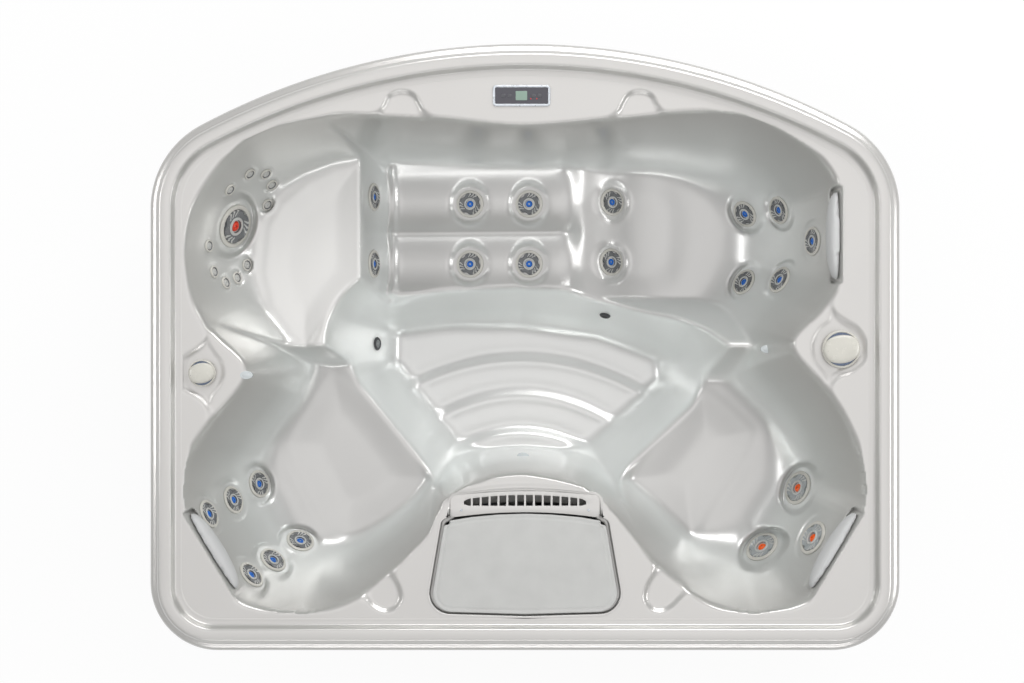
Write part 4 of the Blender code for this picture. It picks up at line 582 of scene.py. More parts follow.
jets = {
    "flange": 0.042, "seatFlange": 0.052, "bigFlange": 0.064, "mini": 0.018, "miniSunk": 0.002,
    "faceShare": 0.785, "clearance": 0.0006,
}
jetGroups = {
    "leg_jet": ("flange", "lounge_jet_bodies"), "hip_jet": ("flange", "lounge_jet_bodies"),
    "foot_jet": ("flange", "lounge_jet_bodies"), "back_jet": ("flange", "back_jet_bodies"),
    "left_seat_jet": ("flange", "left_seat_jet_bodies"),
    "right_seat_jet": ("seatFlange", "right_seat_jet_bodies"),
    "corner_seat_jet": ("bigFlange", "corner_seat_jet_bodies"),
}


def groupOf(node):
    return node.rsplit("_", 1)[0]


jetSeats = {}
for joint in record["behaviour"]["joints"]:
    node, group = joint["child"], groupOf(joint["child"])
    if group in jetGroups:
        jetSeats[node] = Seat(joint["pos_m"], joint["axis"], jets[jetGroups[group][0]])
miniPlaces = metres([
    (-748, 581), (-711, 587), (-702, 555), (-718, 490), (-798, 525), (-855, 338), (-844, 252), (-819, 217),
    (-796, 236), (-774, 282)]) * halfPlan
miniSeats = [seatAt(x, y, jets["mini"]) for x, y in miniPlaces]
for seat in miniSeats:
    seat.spot.z -= jets["miniSunk"]
suctionSeat = seatAt(-0.4589, 0.0102, 0.021)
slotSeat = seatAt(0.2468, 0.0978, 0.017)
# Radius of each flat place and of its blend into the wall, as shares of the fitting's radius
flatShares = [(seat, 1.26, 1.60) for seat in jetSeats.values()] + [(seat, 1.15, 1.55) for seat in miniSeats]
flatShares += [(suctionSeat, 1.1, 1.4), (slotSeat, 1.1, 1.5)]
# Middle of each pillow, the way its seat's wall rises in degrees, and its length
pillowPlaces = {
    "pillow_lounge": (0.8726, 0.3120, 0.0, 0.252), "pillow_left_seat": (-0.8726, -0.5721, -148.5, 0.250),
    "pillow_right_seat": (0.8652, -0.5704, -31.3, 0.250),
}
pillows = {
    "drop": 0.036, "slope": 4.0, "lean": math.hypot(1, 4.0), "voxel": 0.0042, "shrink": 0.0012, "cap": 0.0045,
    "pressure": 4.0, "frames": 20, "proud": 0.002, "clear": 0.0004,
}


# Distances from a pillow's middle up the wall's way and along the pillow, in plan
def pillowWays(points, x, y, heading):
    c, s = math.cos(math.radians(heading)), math.sin(math.radians(heading))
    return c * (points[:, 0] - x) + s * (points[:, 1] - y), -s * (points[:, 0] - x) + c * (points[:, 1] - y)


# The whole bathing surface: bare wall, flat places under jets and fittings, seats behind pillows
def surfaceHeight(points):
    bare = bareHeight(points)
    roof = np.maximum(bare, deck)
    flats = [(1 - ease(seat.distance(points), seat.radius * inner, seat.radius * outer), seat.plane(points))
             for seat, inner, outer in flatShares]
    for x, y, heading, length in pillowPlaces.values():
        rise, along = pillowWays(points, x, y, heading)
        up = rise * pillows["lean"]
        share = 1 - ease(np.abs(along), length / 2 + 0.002, length / 2 + 0.012)
        share = share * ease(up, -0.064, -0.036) * (up < 0.124)
        flats.append((share, deck - pillows["drop"] + pillows["slope"] * rise))
    total, most, planes = np.zeros(len(points)), np.zeros(len(points)), np.zeros(len(points))
    for share, plane in flats:
        total += share
        planes += share * np.minimum(plane, roof)
        most = np.maximum(most, share)
    level = np.where(total > 0, planes / np.maximum(total, 1e-9), bare)
    return bare * (1 - most) + level * most


filterWell = {"clearance": 0.003, "land": 0.007, "floor": 0.300, "middle": np.array((0, -0.585))}
wellMouth = roundedLoop(metres([
    (272, -736), (229, -483), (206.5, -474.5), (204, -416), (102, -405.5), (0, -402), (-102, -405.5),
    (-204, -416), (-206.5, -474.5), (-229, -483), (-272, -736), (0, -744)
]), metres((55, 18, 2, 16, 0, 0, 0, 16, 2, 18, 55, 0)), 10)


# How much the formed sheet's small rounding counts: nothing near fittings, pillows and the grid's border
def softShare(points, out):
    share = ease(-out, 0.012, 0.030)
    for seat, _, _ in flatShares:
        share = share * ease(seat.distance(points), seat.radius * 1.15, seat.radius * 1.15 + 0.012)
    for x, y, _, _ in pillowPlaces.values():
        share = share * ease(np.hypot(points[:, 0] - x, points[:, 1] - y), 0.135, 0.160)
    return share * ease(-loopDistance(points, openingEdge), -0.030, -0.014)


# Grid cells of the deck and well, with border points moved onto the lines that bound them
def bathingGrid():
    pitch = shellTable["pitch"]
    xs, ys = (np.arange(-reach, reach + 1e-4, pitch) for reach in shellTable["gridReach"])
    grid = np.stack(np.meshgrid(xs, ys), -1)
    flat = grid.reshape(-1, 2)
    outer = tubPlan(shellTable["gridInset"])
    mouth = offsetLoop(wellMouth, filterWell["clearance"] + filterWell["land"])

    def beyond(points):
        return np.maximum(loopDistance(points, outer), -loopDistance(points, mouth))

    out = beyond(flat)
    held = (out <= 0).reshape(grid.shape[:2])
    kept = held[:-1, :-1] | held[1:, :-1] | held[:-1, 1:] | held[1:, 1:]
    near = (out > 0) & (out < 2 * pitch)
    moved = flat.copy()
    for _ in range(3):
        spots = moved[near]
        here = beyond(spots)
        step = 1e-4
        east = (beyond(spots + (step, 0)) - here) / step
        north = (beyond(spots + (0, step)) - here) / step
        size = np.maximum(np.hypot(east, north), 0.2)
        moved[near] = spots - np.c_[east, north] * (here / size**2)[:, None]
    sheet = surfaceHeight(flat).reshape(grid.shape[:2])
    soft = sheet
    for _ in range(shellTable["smoothing"]):
        for axis in (0, 1):
            soft = soft * 0.5 + (np.roll(soft, 1, axis) + np.roll(soft, -1, axis)) * 0.25
    height = (sheet + (soft - sheet) * softShare(flat, out).reshape(sheet.shape)).ravel()
    slopes = np.gradient(height.reshape(sheet.shape), ys, xs)
    normals = np.dstack([-slopes[1], -slopes[0], np.ones_like(slopes[0])])
    normals /= np.linalg.norm(normals, axis=2, keepdims=True)
    height[near] = surfaceHeight(moved[near])
    points = np.dstack([moved.reshape(grid.shape), height.reshape(grid.shape[:2])])
    return points, kept, normals


# Pearl acrylic with painted light and shade: one ramp over height for level faces, one for walls, lighter or
# darker as the lamps fall on each part of the well; then clouds and fine flake under gloss
def pearlAcrylic():
    look = Look("pearl_acrylic_painted_shading", (0.62, 0.61, 0.59), 0.29, Metallic=0.5, Coat_Weight=0.45,
                Coat_Roughness=0.12)
    # Painted shade: faces that lean from level take the walls' ramp, level faces the levels' ramp
    facing = look.add("ShaderNodeNewGeometry", out=1)
    up = look.add("ShaderNodeSeparateXYZ", {}, {0: facing}, 2)
    level = ((up - 0.45) / 0.5).held(0.0, 1.0)
    height = look.height()
    # Painted light and shade over height: walls pale low down and dark near the deck, levels lighter or
    # darker from one seat's height to the next
    walls = (
        (0.16, (0.86, 0.885, 0.875)), (0.36, (0.76, 0.785, 0.775)), (0.50, (0.56, 0.575, 0.56)),
        (0.70, (0.45, 0.448, 0.43)))
    levels = (
        (0.15, (0.66, 0.655, 0.645)), (0.26, (0.56, 0.55, 0.54)), (0.40, (0.52, 0.51, 0.50)),
        (0.47, (0.67, 0.66, 0.645)), (0.64, (0.58, 0.565, 0.55)), (0.73, (0.545, 0.53, 0.515)))
    steep, flat = (look.add("ShaderNodeValToRGB", {"stops": stops}, {0: height}) for stops in (walls, levels))
    base = look.mix(level, steep, flat)
    cloud = look.noise(0.35, 3.0)
    base = look.mix((cloud - 0.4) * 0.2, base, (0.74, 0.73, 0.71))
    flake = look.noise(0.0011, 2.0)
    base = look.mix((flake - 0.5) * 0.10 + 0.05, base, (0.85, 0.84, 0.82))
    look.set("Base Color", base)
    look.set("Roughness", (look.noise(0.12, 4.0) - 0.5) * 0.05 + 0.29)
    return look.bump(look.noise(0.0016, 2.0), 0.00002, 0.2)


acrylic = pearlAcrylic()
print("shell: working out the surface")
points, kept, normals = bathingGrid()
middle = points.shape[1] // 2
halves = {
    "bathing_shell_left": (slice(0, middle + 1), slice(0, middle)),
    "bathing_shell_right": (slice(middle, None), slice(middle, None)),
}
for name, (columns, cells) in halves.items():
    mesh = gridMesh(points[:, columns], normals=normals[:, columns], kept=kept[:, cells])
    piece(name, mesh, acrylic, "tub", ["shell"])
    print(name, len(mesh.polygons) * 2)

# Rim: profile of (inset, drop) carried round the plan, from under the lip to just below the deck's edge
rimProfile = metres([
    (6, 100), (6, 101.8), (3, 103), (0.4, 101.5), (0, 98), (0, 84), (0, 72), (0.8, 67), (2.8, 62.8),
    (6.2, 59.4), (10.8, 56.9), (16, 55.2), (21.2, 53.4), (25.2, 50.2), (27.7, 44), (28.6, 36), (29.4, 27),
    (30.3, 18), (31.8, 11), (34.2, 5.8), (37.4, 2.4), (41.2, 0.7), (46, 0), (54.5, 0), (63, 0.2), (67.2, 1),
    (70.4, 3), (72.8, 6.5), (74.8, 11), (76.8, 15.5), (79.2, 19), (82.2, 21.1), (86, 21.9), (92, 22),
    (98, 22), (101, 23.5)
])
rim = ringMesh([raised(tubPlan(inset)[::-1], tub["height"] - drop) for inset, drop in rimProfile])
piece("shell_rim", rim, acrylic, "tub", ["shell"])

# Filter well: profile of (offset from the mouth, height) down to a closed floor
land, middle = filterWell["land"], filterWell["middle"]
wellProfile = [(land + 0.003, -0.0015), (land, 0.0), *metres([
    (3, 0), (1.5, -0.2), (0.4, -1), (0, -2.4), (0, -17), (-0.4, -19.2), (-1.8, -20), (-6, -20.1),
    (-11, -20.1), (-12.4, -21), (-13, -23), (-13, -100), (-13, -200), (-13, -300), (-13, -425),
    (-13.5, -436)
])]
rings = [raised(offsetLoop(wellMouth, filterWell["clearance"] + out), deck + down)
         for out, down in wellProfile]
floorEdge = rings[-1][:, :2]
for share in (0.8, 0.5, 0.25, 0.002):
    rings.append(raised(floorEdge * share + middle * (1 - share), filterWell["floor"]))
piece("filter_well", ringMesh(rings), acrylic, "tub", ["shell"])


# Profile or route with each corner cut to a small round, and a point held close on either side of it
def eased(points, radius):
    points = np.array(points, float)
    out = [points[0]]
    for before, here, after in zip(points, points[1:], points[2:]):
        back, ahead = before - here, after - here
        far, near = np.linalg.norm(back), np.linalg.norm(ahead)
        reach = min(radius, 0.3 * far, 0.3 * near)
        back, ahead = back / far * reach, ahead / near * reach
        out.append(here + back * 1.5)
        out += [here + back * (1 - t) ** 2 + ahead * t**2 for t in (0.0, 0.25, 0.5, 0.75, 1.0)]
        out.append(here + ahead * 1.5)
    return np.array(out + [points[-1]])


# Turned body: each (radius, height) of the profile, from below and up the outside, makes a circle
def turned(profile, sides=48, soft=0.0005):
    rings = eased(profile, soft)
    angles = 2 * math.pi * np.arange(sides) / sides
    across = [rings[:, :1] * np.cos(angles), rings[:, :1] * np.sin(angles), rings[:, 1:] + 0 * angles]
    return ringMesh(np.stack(across, -1))


# Pipe along a route: a circle square to each step, turned as little as the bends allow
def pipe(route, radius, sides=16, bend=0.03):
    route = eased(route, bend) if len(route) > 2 else np.array(route, float)
    along = np.gradient(route, axis=0)
    along /= np.linalg.norm(along, axis=1, keepdims=True)
    side = np.cross(along[0], (0.3, 0.5, 0.81))
    angles = 2 * math.pi * np.arange(sides) / sides
    rings = []
    for spot, way in zip(route, along):
        side = side - way * np.dot(side, way)
        side /= np.linalg.norm(side)
        other = np.cross(way, side)
        rings.append(spot + radius * (np.cos(angles)[:, None] * side + np.sin(angles)[:, None] * other))
    ends = [np.repeat(route[k][None], sides, 0) for k in (0, -1)]
    return ringMesh([ends[0], *rings, ends[1]])


# Rings over each other, closed to a middle point at either end; looks gives each band of faces its finish
def stacked(rings, looks=None, closed=(True, True)):
    middles = [np.repeat(rings[k].mean(0)[None], len(rings[k]), 0) for k in (0, -1)]
    rings = middles[:1] * closed[0] + rings + middles[1:] * closed[1]
    mesh = ringMesh(rings)
    if looks is not None:
        mesh.polygons.foreach_set("material_index", np.repeat(looks, len(rings[0])).astype(np.int32))
    return mesh


flangePlastic = moulded("flange_plastic", (0.52, 0.505, 0.465), 0.30, Coat_Weight=0.3)
facePlastic = moulded("face_plastic", (0.115, 0.12, 0.125), 0.26, Coat_Weight=0.4)
paleFacePlastic = moulded("pale_face_plastic", (0.30, 0.32, 0.325), 0.28, Coat_Weight=0.4)
slotPlastic = moulded("slot_plastic", (0.46, 0.46, 0.445), 0.32)
bluePlastic = moulded("blue_plastic", (0.006, 0.13, 0.52), 0.35)
orangePlastic = moulded("orange_plastic", (0.84, 0.11, 0.006), 0.35)
redPlastic = moulded("red_plastic", (0.66, 0.035, 0.008), 0.35)
darkPlastic = moulded("dark_plastic", (0.045, 0.046, 0.05), 0.38)
pipePlastic = moulded("pipe_plastic", (0.60, 0.60, 0.58), 0.42)

# Rows are (share of the radius, height in millimetres on a face of the radius they are drawn for)
jetFace = {
    "drawnFor": 0.033, "columns": 180, "notch": 0.0062, "notchAt": 50, "lean": 0.30, "slotDepth": 0.0016,
    "slots": ((9, 13), (18, 22), (27, 31)),
    "rows": ((0.0, -11.0), (0.965, -11.0), (0.99, -10.3), (1.0, -9.0), (1.0, -2.0), (1.0, 3.8), (0.994, 4.9),
             (0.98, 5.5), (0.955, 5.7), (0.93, 5.5), (0.91, 5.0), (0.895, 4.6), (0.865, 4.3), (0.84, 4.2),
             (0.815, 4.15), (0.74, 3.95), (0.67, 3.75), (0.645, 3.65), (0.62, 3.6), (0.58, 3.6), (0.55, 3.9),
             (0.53, 4.7), (0.51, 5.4), (0.485, 5.7), (0.45, 5.75), (0.415, 5.5), (0.395, 4.9), (0.385, 4.0),
             (0.378, 1.5), (0.365, -1.5), (0.34, -3.0), (0.29, -3.6), (0.0, -3.8)),
}


# Face of a jet: circles of the given shares of its radius, whose columns lean where the slots are
def faceMesh(radius):
    rows = np.array(jetFace["rows"])
    size = np.where(rows[:, 1:] > -8, radius / jetFace["drawnFor"], 1)
    share, height = rows[:, :1], rows[:, 1:] / 1000 * size
    count = jetFace["columns"]
    angles = 2 * math.pi * np.arange(count)[None] / count
    angles = angles + jetFace["lean"] * np.clip((0.875 - share) / 0.27, 0, 1) * (share > 0.4)
    slotRow = ((share < 0.82) & (share > 0.66)).astype(float)
    slotColumn = np.zeros(count)
    cells = np.zeros((len(rows) - 1, count), np.int32)
    slotCells = ((share[:-1, 0] < 0.85) & (share[1:, 0] > 0.64)).nonzero()[0]
    for group in range(3):
        for first, last in jetFace["slots"]:
            start = group * count // 3
            slotColumn[start + first + 1:start + last] = 1
            cells[slotCells[0]:slotCells[-1] + 1, start + first:start + last] = 1
    ringCells = ((share[:-1, 0] <= 0.55) & (share[1:, 0] >= 0.385)).nonzero()[0]
    cells[ringCells] = 1
    reach = share * radius
    height = height - jetFace["slotDepth"] * slotRow * slotColumn[None]
    notches = sum(hump(np.arange(count)[None] - jetFace["notchAt"] - k * count // 3, 6.0) for k in range(3))
    reach = reach - jetFace["notch"] * notches * np.clip((share - 0.86) / 0.10, 0, 1) * (height > -0.009)
    grid = np.stack([reach * np.cos(angles), reach * np.sin(angles), height + 0 * angles], -1)
    mesh = ringMesh(grid)
    mesh.polygons.foreach_set("material_index", cells.ravel())
    return mesh


# Coloured nozzle in the middle of a face
def nozzleMesh(radius):
    profile = metres([
        (0, -3.6), (10.8, -3.6), (10.6, -1), (9.8, 1), (8, 2.8), (5.6, 3.8), (3.6, 4), (2.9, 3.4), (2.6, -1),
        (0, -1.4)])
    return turned(profile * (radius / jetFace["drawnFor"]), 32)


print("jets")
jetColours = {
    "right_seat_jet": (paleFacePlastic, orangePlastic), "corner_seat_jet": (facePlastic, redPlastic),
}
faces = {}
for node, seat in jetSeats.items():
    group = groupOf(node)
    if group not in faces:
        radius = seat.radius * jets["faceShare"]
        faces[group] = (faceMesh(radius), nozzleMesh(radius))
    face, nozzle = faces[group]
    parts = [(face, seat.matrix(), 0), (nozzle, seat.matrix(), 2)]
    plastic, colour = jetColours.get(group, (facePlastic, bluePlastic))
    piece(f"{node}_face", parts, [plastic, slotPlastic, colour], node, [node])


# Fixed body of a jet: shank, flange on the shell and the cup that the face turns in
def bodyMesh(flange):
    bore = flange * jets["faceShare"] + jets["clearance"]
    shank = bore + 0.0025
    profile = [(0, -0.050), (shank, -0.050), (shank, 0.0003), (flange, 0.0003), (flange, 0.0022),
               (flange - 0.0012, 0.0039), (flange - 0.0036, 0.0048), (bore + 0.0012, 0.0050), (bore, 0.0042),
               (bore, -0.0113), (0, -0.0113)]
    return turned(profile, 56, 0.0007)


miniRing = turned(metres([
    (0, -32), (8, -32), (8, 0.3), (18, 0.3), (18, 1.6), (16.8, 3.6), (15, 4.6), (13.4, 4.2), (13, 1.2),
    (0, 0.8)]), 32)
miniCup = turned(metres([(13.1, 3.2), (11.2, 2.2), (10, 1), (0, 1)]), 32)
miniNozzle = turned(metres([(0, 0.8), (8.8, 1), (7.2, 3), (4.6, 3.6), (3, 3.4), (2.6, 1.2), (0, 1)]), 24)
# Each knob: x, y, radius and turn in degrees
knobs = {
    "air_control_knob": (-0.89565, -0.07225, 0.038, 12.0), "diverter_knob": (0.87675, -0.00595, 0.053, 8.0),
}
valves = {"left_seat_jet_bodies": "air_control_knob", "back_jet_bodies": "diverter_knob"}
# Order in which each rail passes its jets, and its height
rails = {
    "lounge_jet_bodies": ((6, 0, 1, 4, 5, 3, 2, 7), 0.16), "back_jet_bodies": ((0, 1, 4, 3, 2, 5), 0.23),
    "left_seat_jet_bodies": ((3, 4, 5, 2, 1, 0, 6), 0.23), "right_seat_jet_bodies": ((0, 2, 1), 0.23),
    "corner_seat_jet_bodies": ((2, 1, 5, 0, 4, 3, 6, 7, 8, 9, 10), 0.40),
}
plumbing = {
    "feed": 0.010, "rail": 0.019, "past": 0.038, "jetDepth": 0.050, "miniDepth": 0.032, "valveDepth": 0.085,
}
for name, (order, railHeight) in rails.items():
    members = [(bodyMesh(seat.radius), seat.matrix(), plumbing["jetDepth"]) for node, seat in jetSeats.items()
               if jetGroups[groupOf(node)][1] == name]
    trims = []
    if name in valves:
        x, y, radius, _ = knobs[valves[name]]
        wide = radius * 0.62
        valve = turned([(0, -0.085), (wide * 0.8, -0.085), (wide, -0.068), (wide, 0), (0.0104, 0),
                        (0.0104, -0.028), (0, -0.028)], 32, 0.002)
        members.append((valve, Matrix.Translation((x, y, deck - 0.0063)), plumbing["valveDepth"]))
    if name == "corner_seat_jet_bodies":
        members += [(miniRing, seat.matrix(), plumbing["miniDepth"]) for seat in miniSeats]
        trims = [(mesh, seat.matrix(), look) for seat in miniSeats
                 for mesh, look in ((miniCup, 2), (miniNozzle, 3))]
    parts = [(mesh, matrix, 0) for mesh, matrix, _ in members] + trims
    drops = []
    for k in order:
        _, matrix, depth = members[k]
        tail = matrix @ Vector((0, 0, -depth * 0.8))
        drops.append(np.array((tail.x, tail.y, railHeight)))
        parts.append((pipe([tuple(tail), drops[-1]], plumbing["feed"]), None, 1))
    first, last = drops[0] - drops[1], drops[-1] - drops[-2]
    drops.insert(0, drops[0] + first / np.linalg.norm(first) * plumbing["past"])
    drops.append(drops[-1] + last / np.linalg.norm(last) * plumbing["past"])
    parts.append((pipe(drops, plumbing["rail"], 20), None, 1))
    looks = [flangePlastic, pipePlastic, facePlastic, slotPlastic]
    piece(f"{name}_moulded", parts, looks, "tub", [name])

# Suction cover with bars across its middle, the return fitting and the oval lights
print("fittings")
cover = turned(metres([
    (0, -30), (14.7, -30), (14.7, 0.3), (21, 0.3), (20.5, 2.2), (17.8, 4.6), (15, 5.2), (12.8, 4.4),
    (12.2, 2.6), (0, 2.6)]), 44)
parts = [(cover, suctionSeat.matrix(), 0)]
for y in metres((-9.2, -5.5, -1.8, 1.8, 5.5, 9.2)):
    reach = math.sqrt(0.0122**2 - y * y)
    parts.append((pipe([(-reach, y, 0.0036), (reach, y, 0.0036)], 0.0011, 10), suctionSeat.matrix(), 1))
piece("suction_grid", parts, [darkPlastic, paleFacePlastic], "tub", ["suction_cover"])
eye = turned(metres([
    (0, -30), (11.9, -30), (11.9, 0.3), (17, 0.3), (16.8, 1.8), (14.5, 4.2), (10.5, 5.3), (8.2, 4.6), (7, 2),
    (0, 1.6)]), 40)
piece("return_eye", [(eye, slotSeat.matrix(), 0)], darkPlastic, "tub", ["return_fitting"])
lens = turned(metres([(0, -6), (10.5, -6), (10.2, 4.6), (8.4, 5.6), (7, 5.2), (4, 6.8), (0, 7.4)]), 32)
lensPlaces = {
    "footwell_light": (-0.006, -0.331), "right_ridge_light": (0.695, -0.006),
    "left_ridge_light": (-0.775, -0.078),
}
lensSeats = {name: seatAt(x, y, 0.010) for name, (x, y) in lensPlaces.items()}
glass = moulded("light_lens", (0.50, 0.53, 0.54), 0.12, Coat_Weight=0.8)
for name, seat in lensSeats.items():
    oval = Matrix.Translation(seat.spot) @ Matrix.Diagonal((1.8, 1.1, 1.0, 1.0))
    piece(name, [(lens, oval, 0)], glass, "tub")

# Deck knobs: a disc with a sunk metallic face and an oval paddle across it
print("knobs")
knobPlastic = moulded("knob_plastic", (0.54, 0.525, 0.475), 0.26, Coat_Weight=0.4)
knobMetal = moulded("knob_metal", (0.13, 0.16, 0.23), 0.25, grain=0.004, depth=0.00005, Metallic=0.7)
# Paddle's rings: (share of its plan, height in millimetres)
paddleRings = (
    (1.0, 6.0), (1.0, 8.0), (1.0, 12.0), (0.985, 14.2), (0.95, 16.2), (0.89, 17.8), (0.80, 19.2),
    (0.66, 20.4), (0.48, 21.2), (0.26, 21.7), (0.001, 21.8))
for node, (x, y, radius, turn) in knobs.items():
    disc = turned([
        (0, -0.0085), (radius * 0.96, -0.0085), (radius * 0.985, -0.0070), (radius, 0.0020),
        (radius * 0.985, 0.0072), (radius * 0.95, 0.0092), (radius * 0.91, 0.0096), (radius * 0.885, 0.0086),
        (radius * 0.87, 0.0066)], 72, 0.0012)
    sunk = turned([(radius * 0.872, 0.0066), (radius * 0.60, 0.0074), (0, 0.0080)], 64, 0.002)
    stem = turned(metres([(0, -34), (10, -34), (10, -8.5), (0, -8.5)]), 32)
    angles = 2 * math.pi * np.arange(72) / 72
    rings = []
    for share, height in paddleRings:
        long, wide = radius * 0.96 * (0.12 + 0.88 * share), radius * 0.74 * share
        across = wide * np.sin(angles) * (1 + 0.10 * np.cos(angles) ** 2)
        rings.append(raised(np.c_[long * np.cos(angles), across], height / 1000))
    dot = turned(metres([(0, 18.2), (2, 18.2), (1.8, 20.4), (0, 20.8)]), 16)
    spot = Matrix.Translation((x, y, deck)) @ Matrix.Rotation(math.radians(turn), 4, "Z")
    mark = Matrix.Translation((-radius * 0.74, 0, -0.0010))
    parts = [(disc, spot, 0), (sunk, spot, 1), (stem, spot, 0), (ringMesh(rings), spot, 0)]
    parts.append((dot, spot @ mark, 2))
    piece(f"{node}_disc", parts, [knobPlastic, knobMetal, darkPlastic], node, [node])

# Topside panel: silver bezel, dark window, display, four keys and two lamps
print("panel")
silver = moulded("bezel_silver", (0.58, 0.61, 0.65), 0.28, grain=0.0008, depth=0.00003, Metallic=0.45,
                 Coat_Weight=0.3)
windowGloss = moulded("panel_window", (0.040, 0.038, 0.050), 0.16, Coat_Weight=0.6)
displayGlass = moulded("display_glass", (0.20, 0.29, 0.235), 0.12, Coat_Weight=0.7)
lampRed = moulded("lamp_red", (0.62, 0.02, 0.02), 0.2, Emission_Strength=0.15)
lampRed.set("Emission Color", (0.9, 0.03, 0.02, 1.0))
rubber = moulded("key_rubber", (0.075, 0.075, 0.085), 0.5)
panel = {
    "x": -0.00945, "y": 0.697, "length": 0.160, "width": 0.059, "radius": 0.010,
    "lamps": (0.0255, 0.0420), "lampRow": -0.0085, "keys": (-0.0505, -0.0335, 0.0325, 0.0495),
}


# Rounded rectangle inset from the panel's outline, or from that of a smaller part on it
def panelLoop(inset, length=panel["length"], width=panel["width"], shift=0.0, radius=panel["radius"]):
    across, up = length / 2 - inset, width / 2 - inset
    corners = np.array([(-across, -up), (across, -up), (across, up), (-across, up)])
    return roundedLoop(corners + (panel["x"] + shift, panel["y"]), [max(radius - inset, 0.0012)] * 4, 8)


# Profile of (inset, height on the deck), whose last three bands are the window
panelRows = metres([
    (6, -24), (6, 0.3), (0.3, 0.3), (0, 0.6), (0, 3), (0.6, 4.2), (1.8, 4.9), (3, 5), (5.2, 5), (6, 4.7),
    (6.4, 4), (6.7, 3.3), (7.4, 3.1), (9, 3.1)])
bezel = stacked([raised(panelLoop(inset), deck + z) for inset, z in panelRows], [0] * 12 + [1] * 3)
face = deck + panelRows[-1, 1]
display = stacked([raised(panelLoop(inset, 0.0320, 0.0255, -0.0005, 0.0022), face + z)
                   for inset, z in metres([(0, -1), (0, 0.3), (0.5, 0.5), (1.4, 0.5)])], closed=(False, True))
parts = [(bezel, None, 0), (display, None, 2)]
lamp = turned(metres([(0, -1), (1.7, -1), (1.6, 0.3), (1, 0.9), (0, 1.1)]), 16)
for shift in panel["lamps"]:
    parts.append((lamp, Matrix.Translation((panel["x"] + shift, panel["y"] + panel["lampRow"], face)), 3))
looks = [silver, windowGloss, displayGlass, lampRed]
piece("panel_bezel_face", parts, looks, "tub", ["control_bezel"])
for number, shift in enumerate(panel["keys"], 1):
    button = f"panel_button_{number}"
    key = stacked([raised(panelLoop(inset, 0.0125, 0.010, shift, 0.0045), face + z)
                   for inset, z in metres([(0, -1.9), (0, 0.4), (0.3, 0.9), (1, 1.2), (3, 1.3)])])
    piece(f"panel_key_{number}", key, rubber, button, [button])

# Filter lid: arched front, splayed sides, two finger notches at the front corners, rings in to a low crown
print("lid and weir")
lidPlastic = moulded("lid_plastic", (0.47, 0.47, 0.458), 0.42, grain=0.0022, depth=0.0004)
lid = {
    "clearance": 0.0012, "middle": np.array((0, -0.605)), "step": 0.006,
    "notches": ((-0.222, -0.485), (0.222, -0.485)), "notchHalf": 0.008, "bite": 0.045,
    "biteTo": np.array((0.0, -0.600)), "crown": 0.0030, "crownHalf": (0.25, 0.125),
}
lidLoop = roundedLoop(metres([
    (-267, -735), (0, -742.5), (267, -735), (224.5, -483.5), (150, -470.8), (75, -463.8), (0, -461.5),
    (-75, -463.8), (-150, -470.8), (-224.5, -483.5)
]), metres((55, 0, 55, 16, 0, 0, 0, 0, 0, 16)), 10)
lidLoop = np.vstack([straight(a, b, max(1, round(np.linalg.norm(b - a) / lid["step"])))
                     for a, b in zip(lidLoop, np.roll(lidLoop, -1, 0))])
notch = sum(hump(np.hypot(*(lidLoop - place).T), lid["notchHalf"]) for place in lid["notches"])
bitten = lidLoop + (lid["biteTo"] - lidLoop) * (lid["bite"] * notch)[:, None]
# Profile of (inset, height on the deck); the notches fade out along it
lidRows = metres([
    (4, -9.8), (1, -9.7), (0, -8.5), (0, -2.2), (0.4, -0.6), (1.4, 0.4), (3, 0.8), (5, 0.9), (8, 0.4),
    (10, 0.1), (12.5, 0.6), (15, 1.3)])
rings = []
for inset, z in lidRows:
    share = ease(inset, 0.002, 0.015)
    loop = bitten * (1 - share) + lidLoop * share
    rings.append(raised(offsetLoop(loop, -inset - lid["clearance"]), deck + z))
inner = rings[-1][:, :2]
for share in (0.98, 0.94, 0.88, 0.8, 0.7, 0.6, 0.5, 0.4, 0.3, 0.2, 0.1):
    rings.append(raised(lid["middle"] + (inner - lid["middle"]) * share, deck + lidRows[-1, 1]))
plate = stacked(rings)
spots = read(plate.vertices, "co", 3)
crown = np.prod(np.clip(1 - ((spots[:, :2] - lid["middle"]) / lid["crownHalf"]) ** 2, 0, 1), 1)
spots[:, 2] += lid["crown"] * crown * (spots[:, 2] > deck)
plate.vertices.foreach_set("co", spots.ravel())
piece("lid_plate", plate, lidPlastic, "filter_lid", ["filter_lid"])

grille = {
    "reach": 0.2075, "pitch": 0.0246, "slot": 0.0190, "slots": 14, "corner": 0.014, "thickness": 0.0058,
    "screws": 0.1765, "slotArch": -0.0125, "archHalf": 0.17,
}


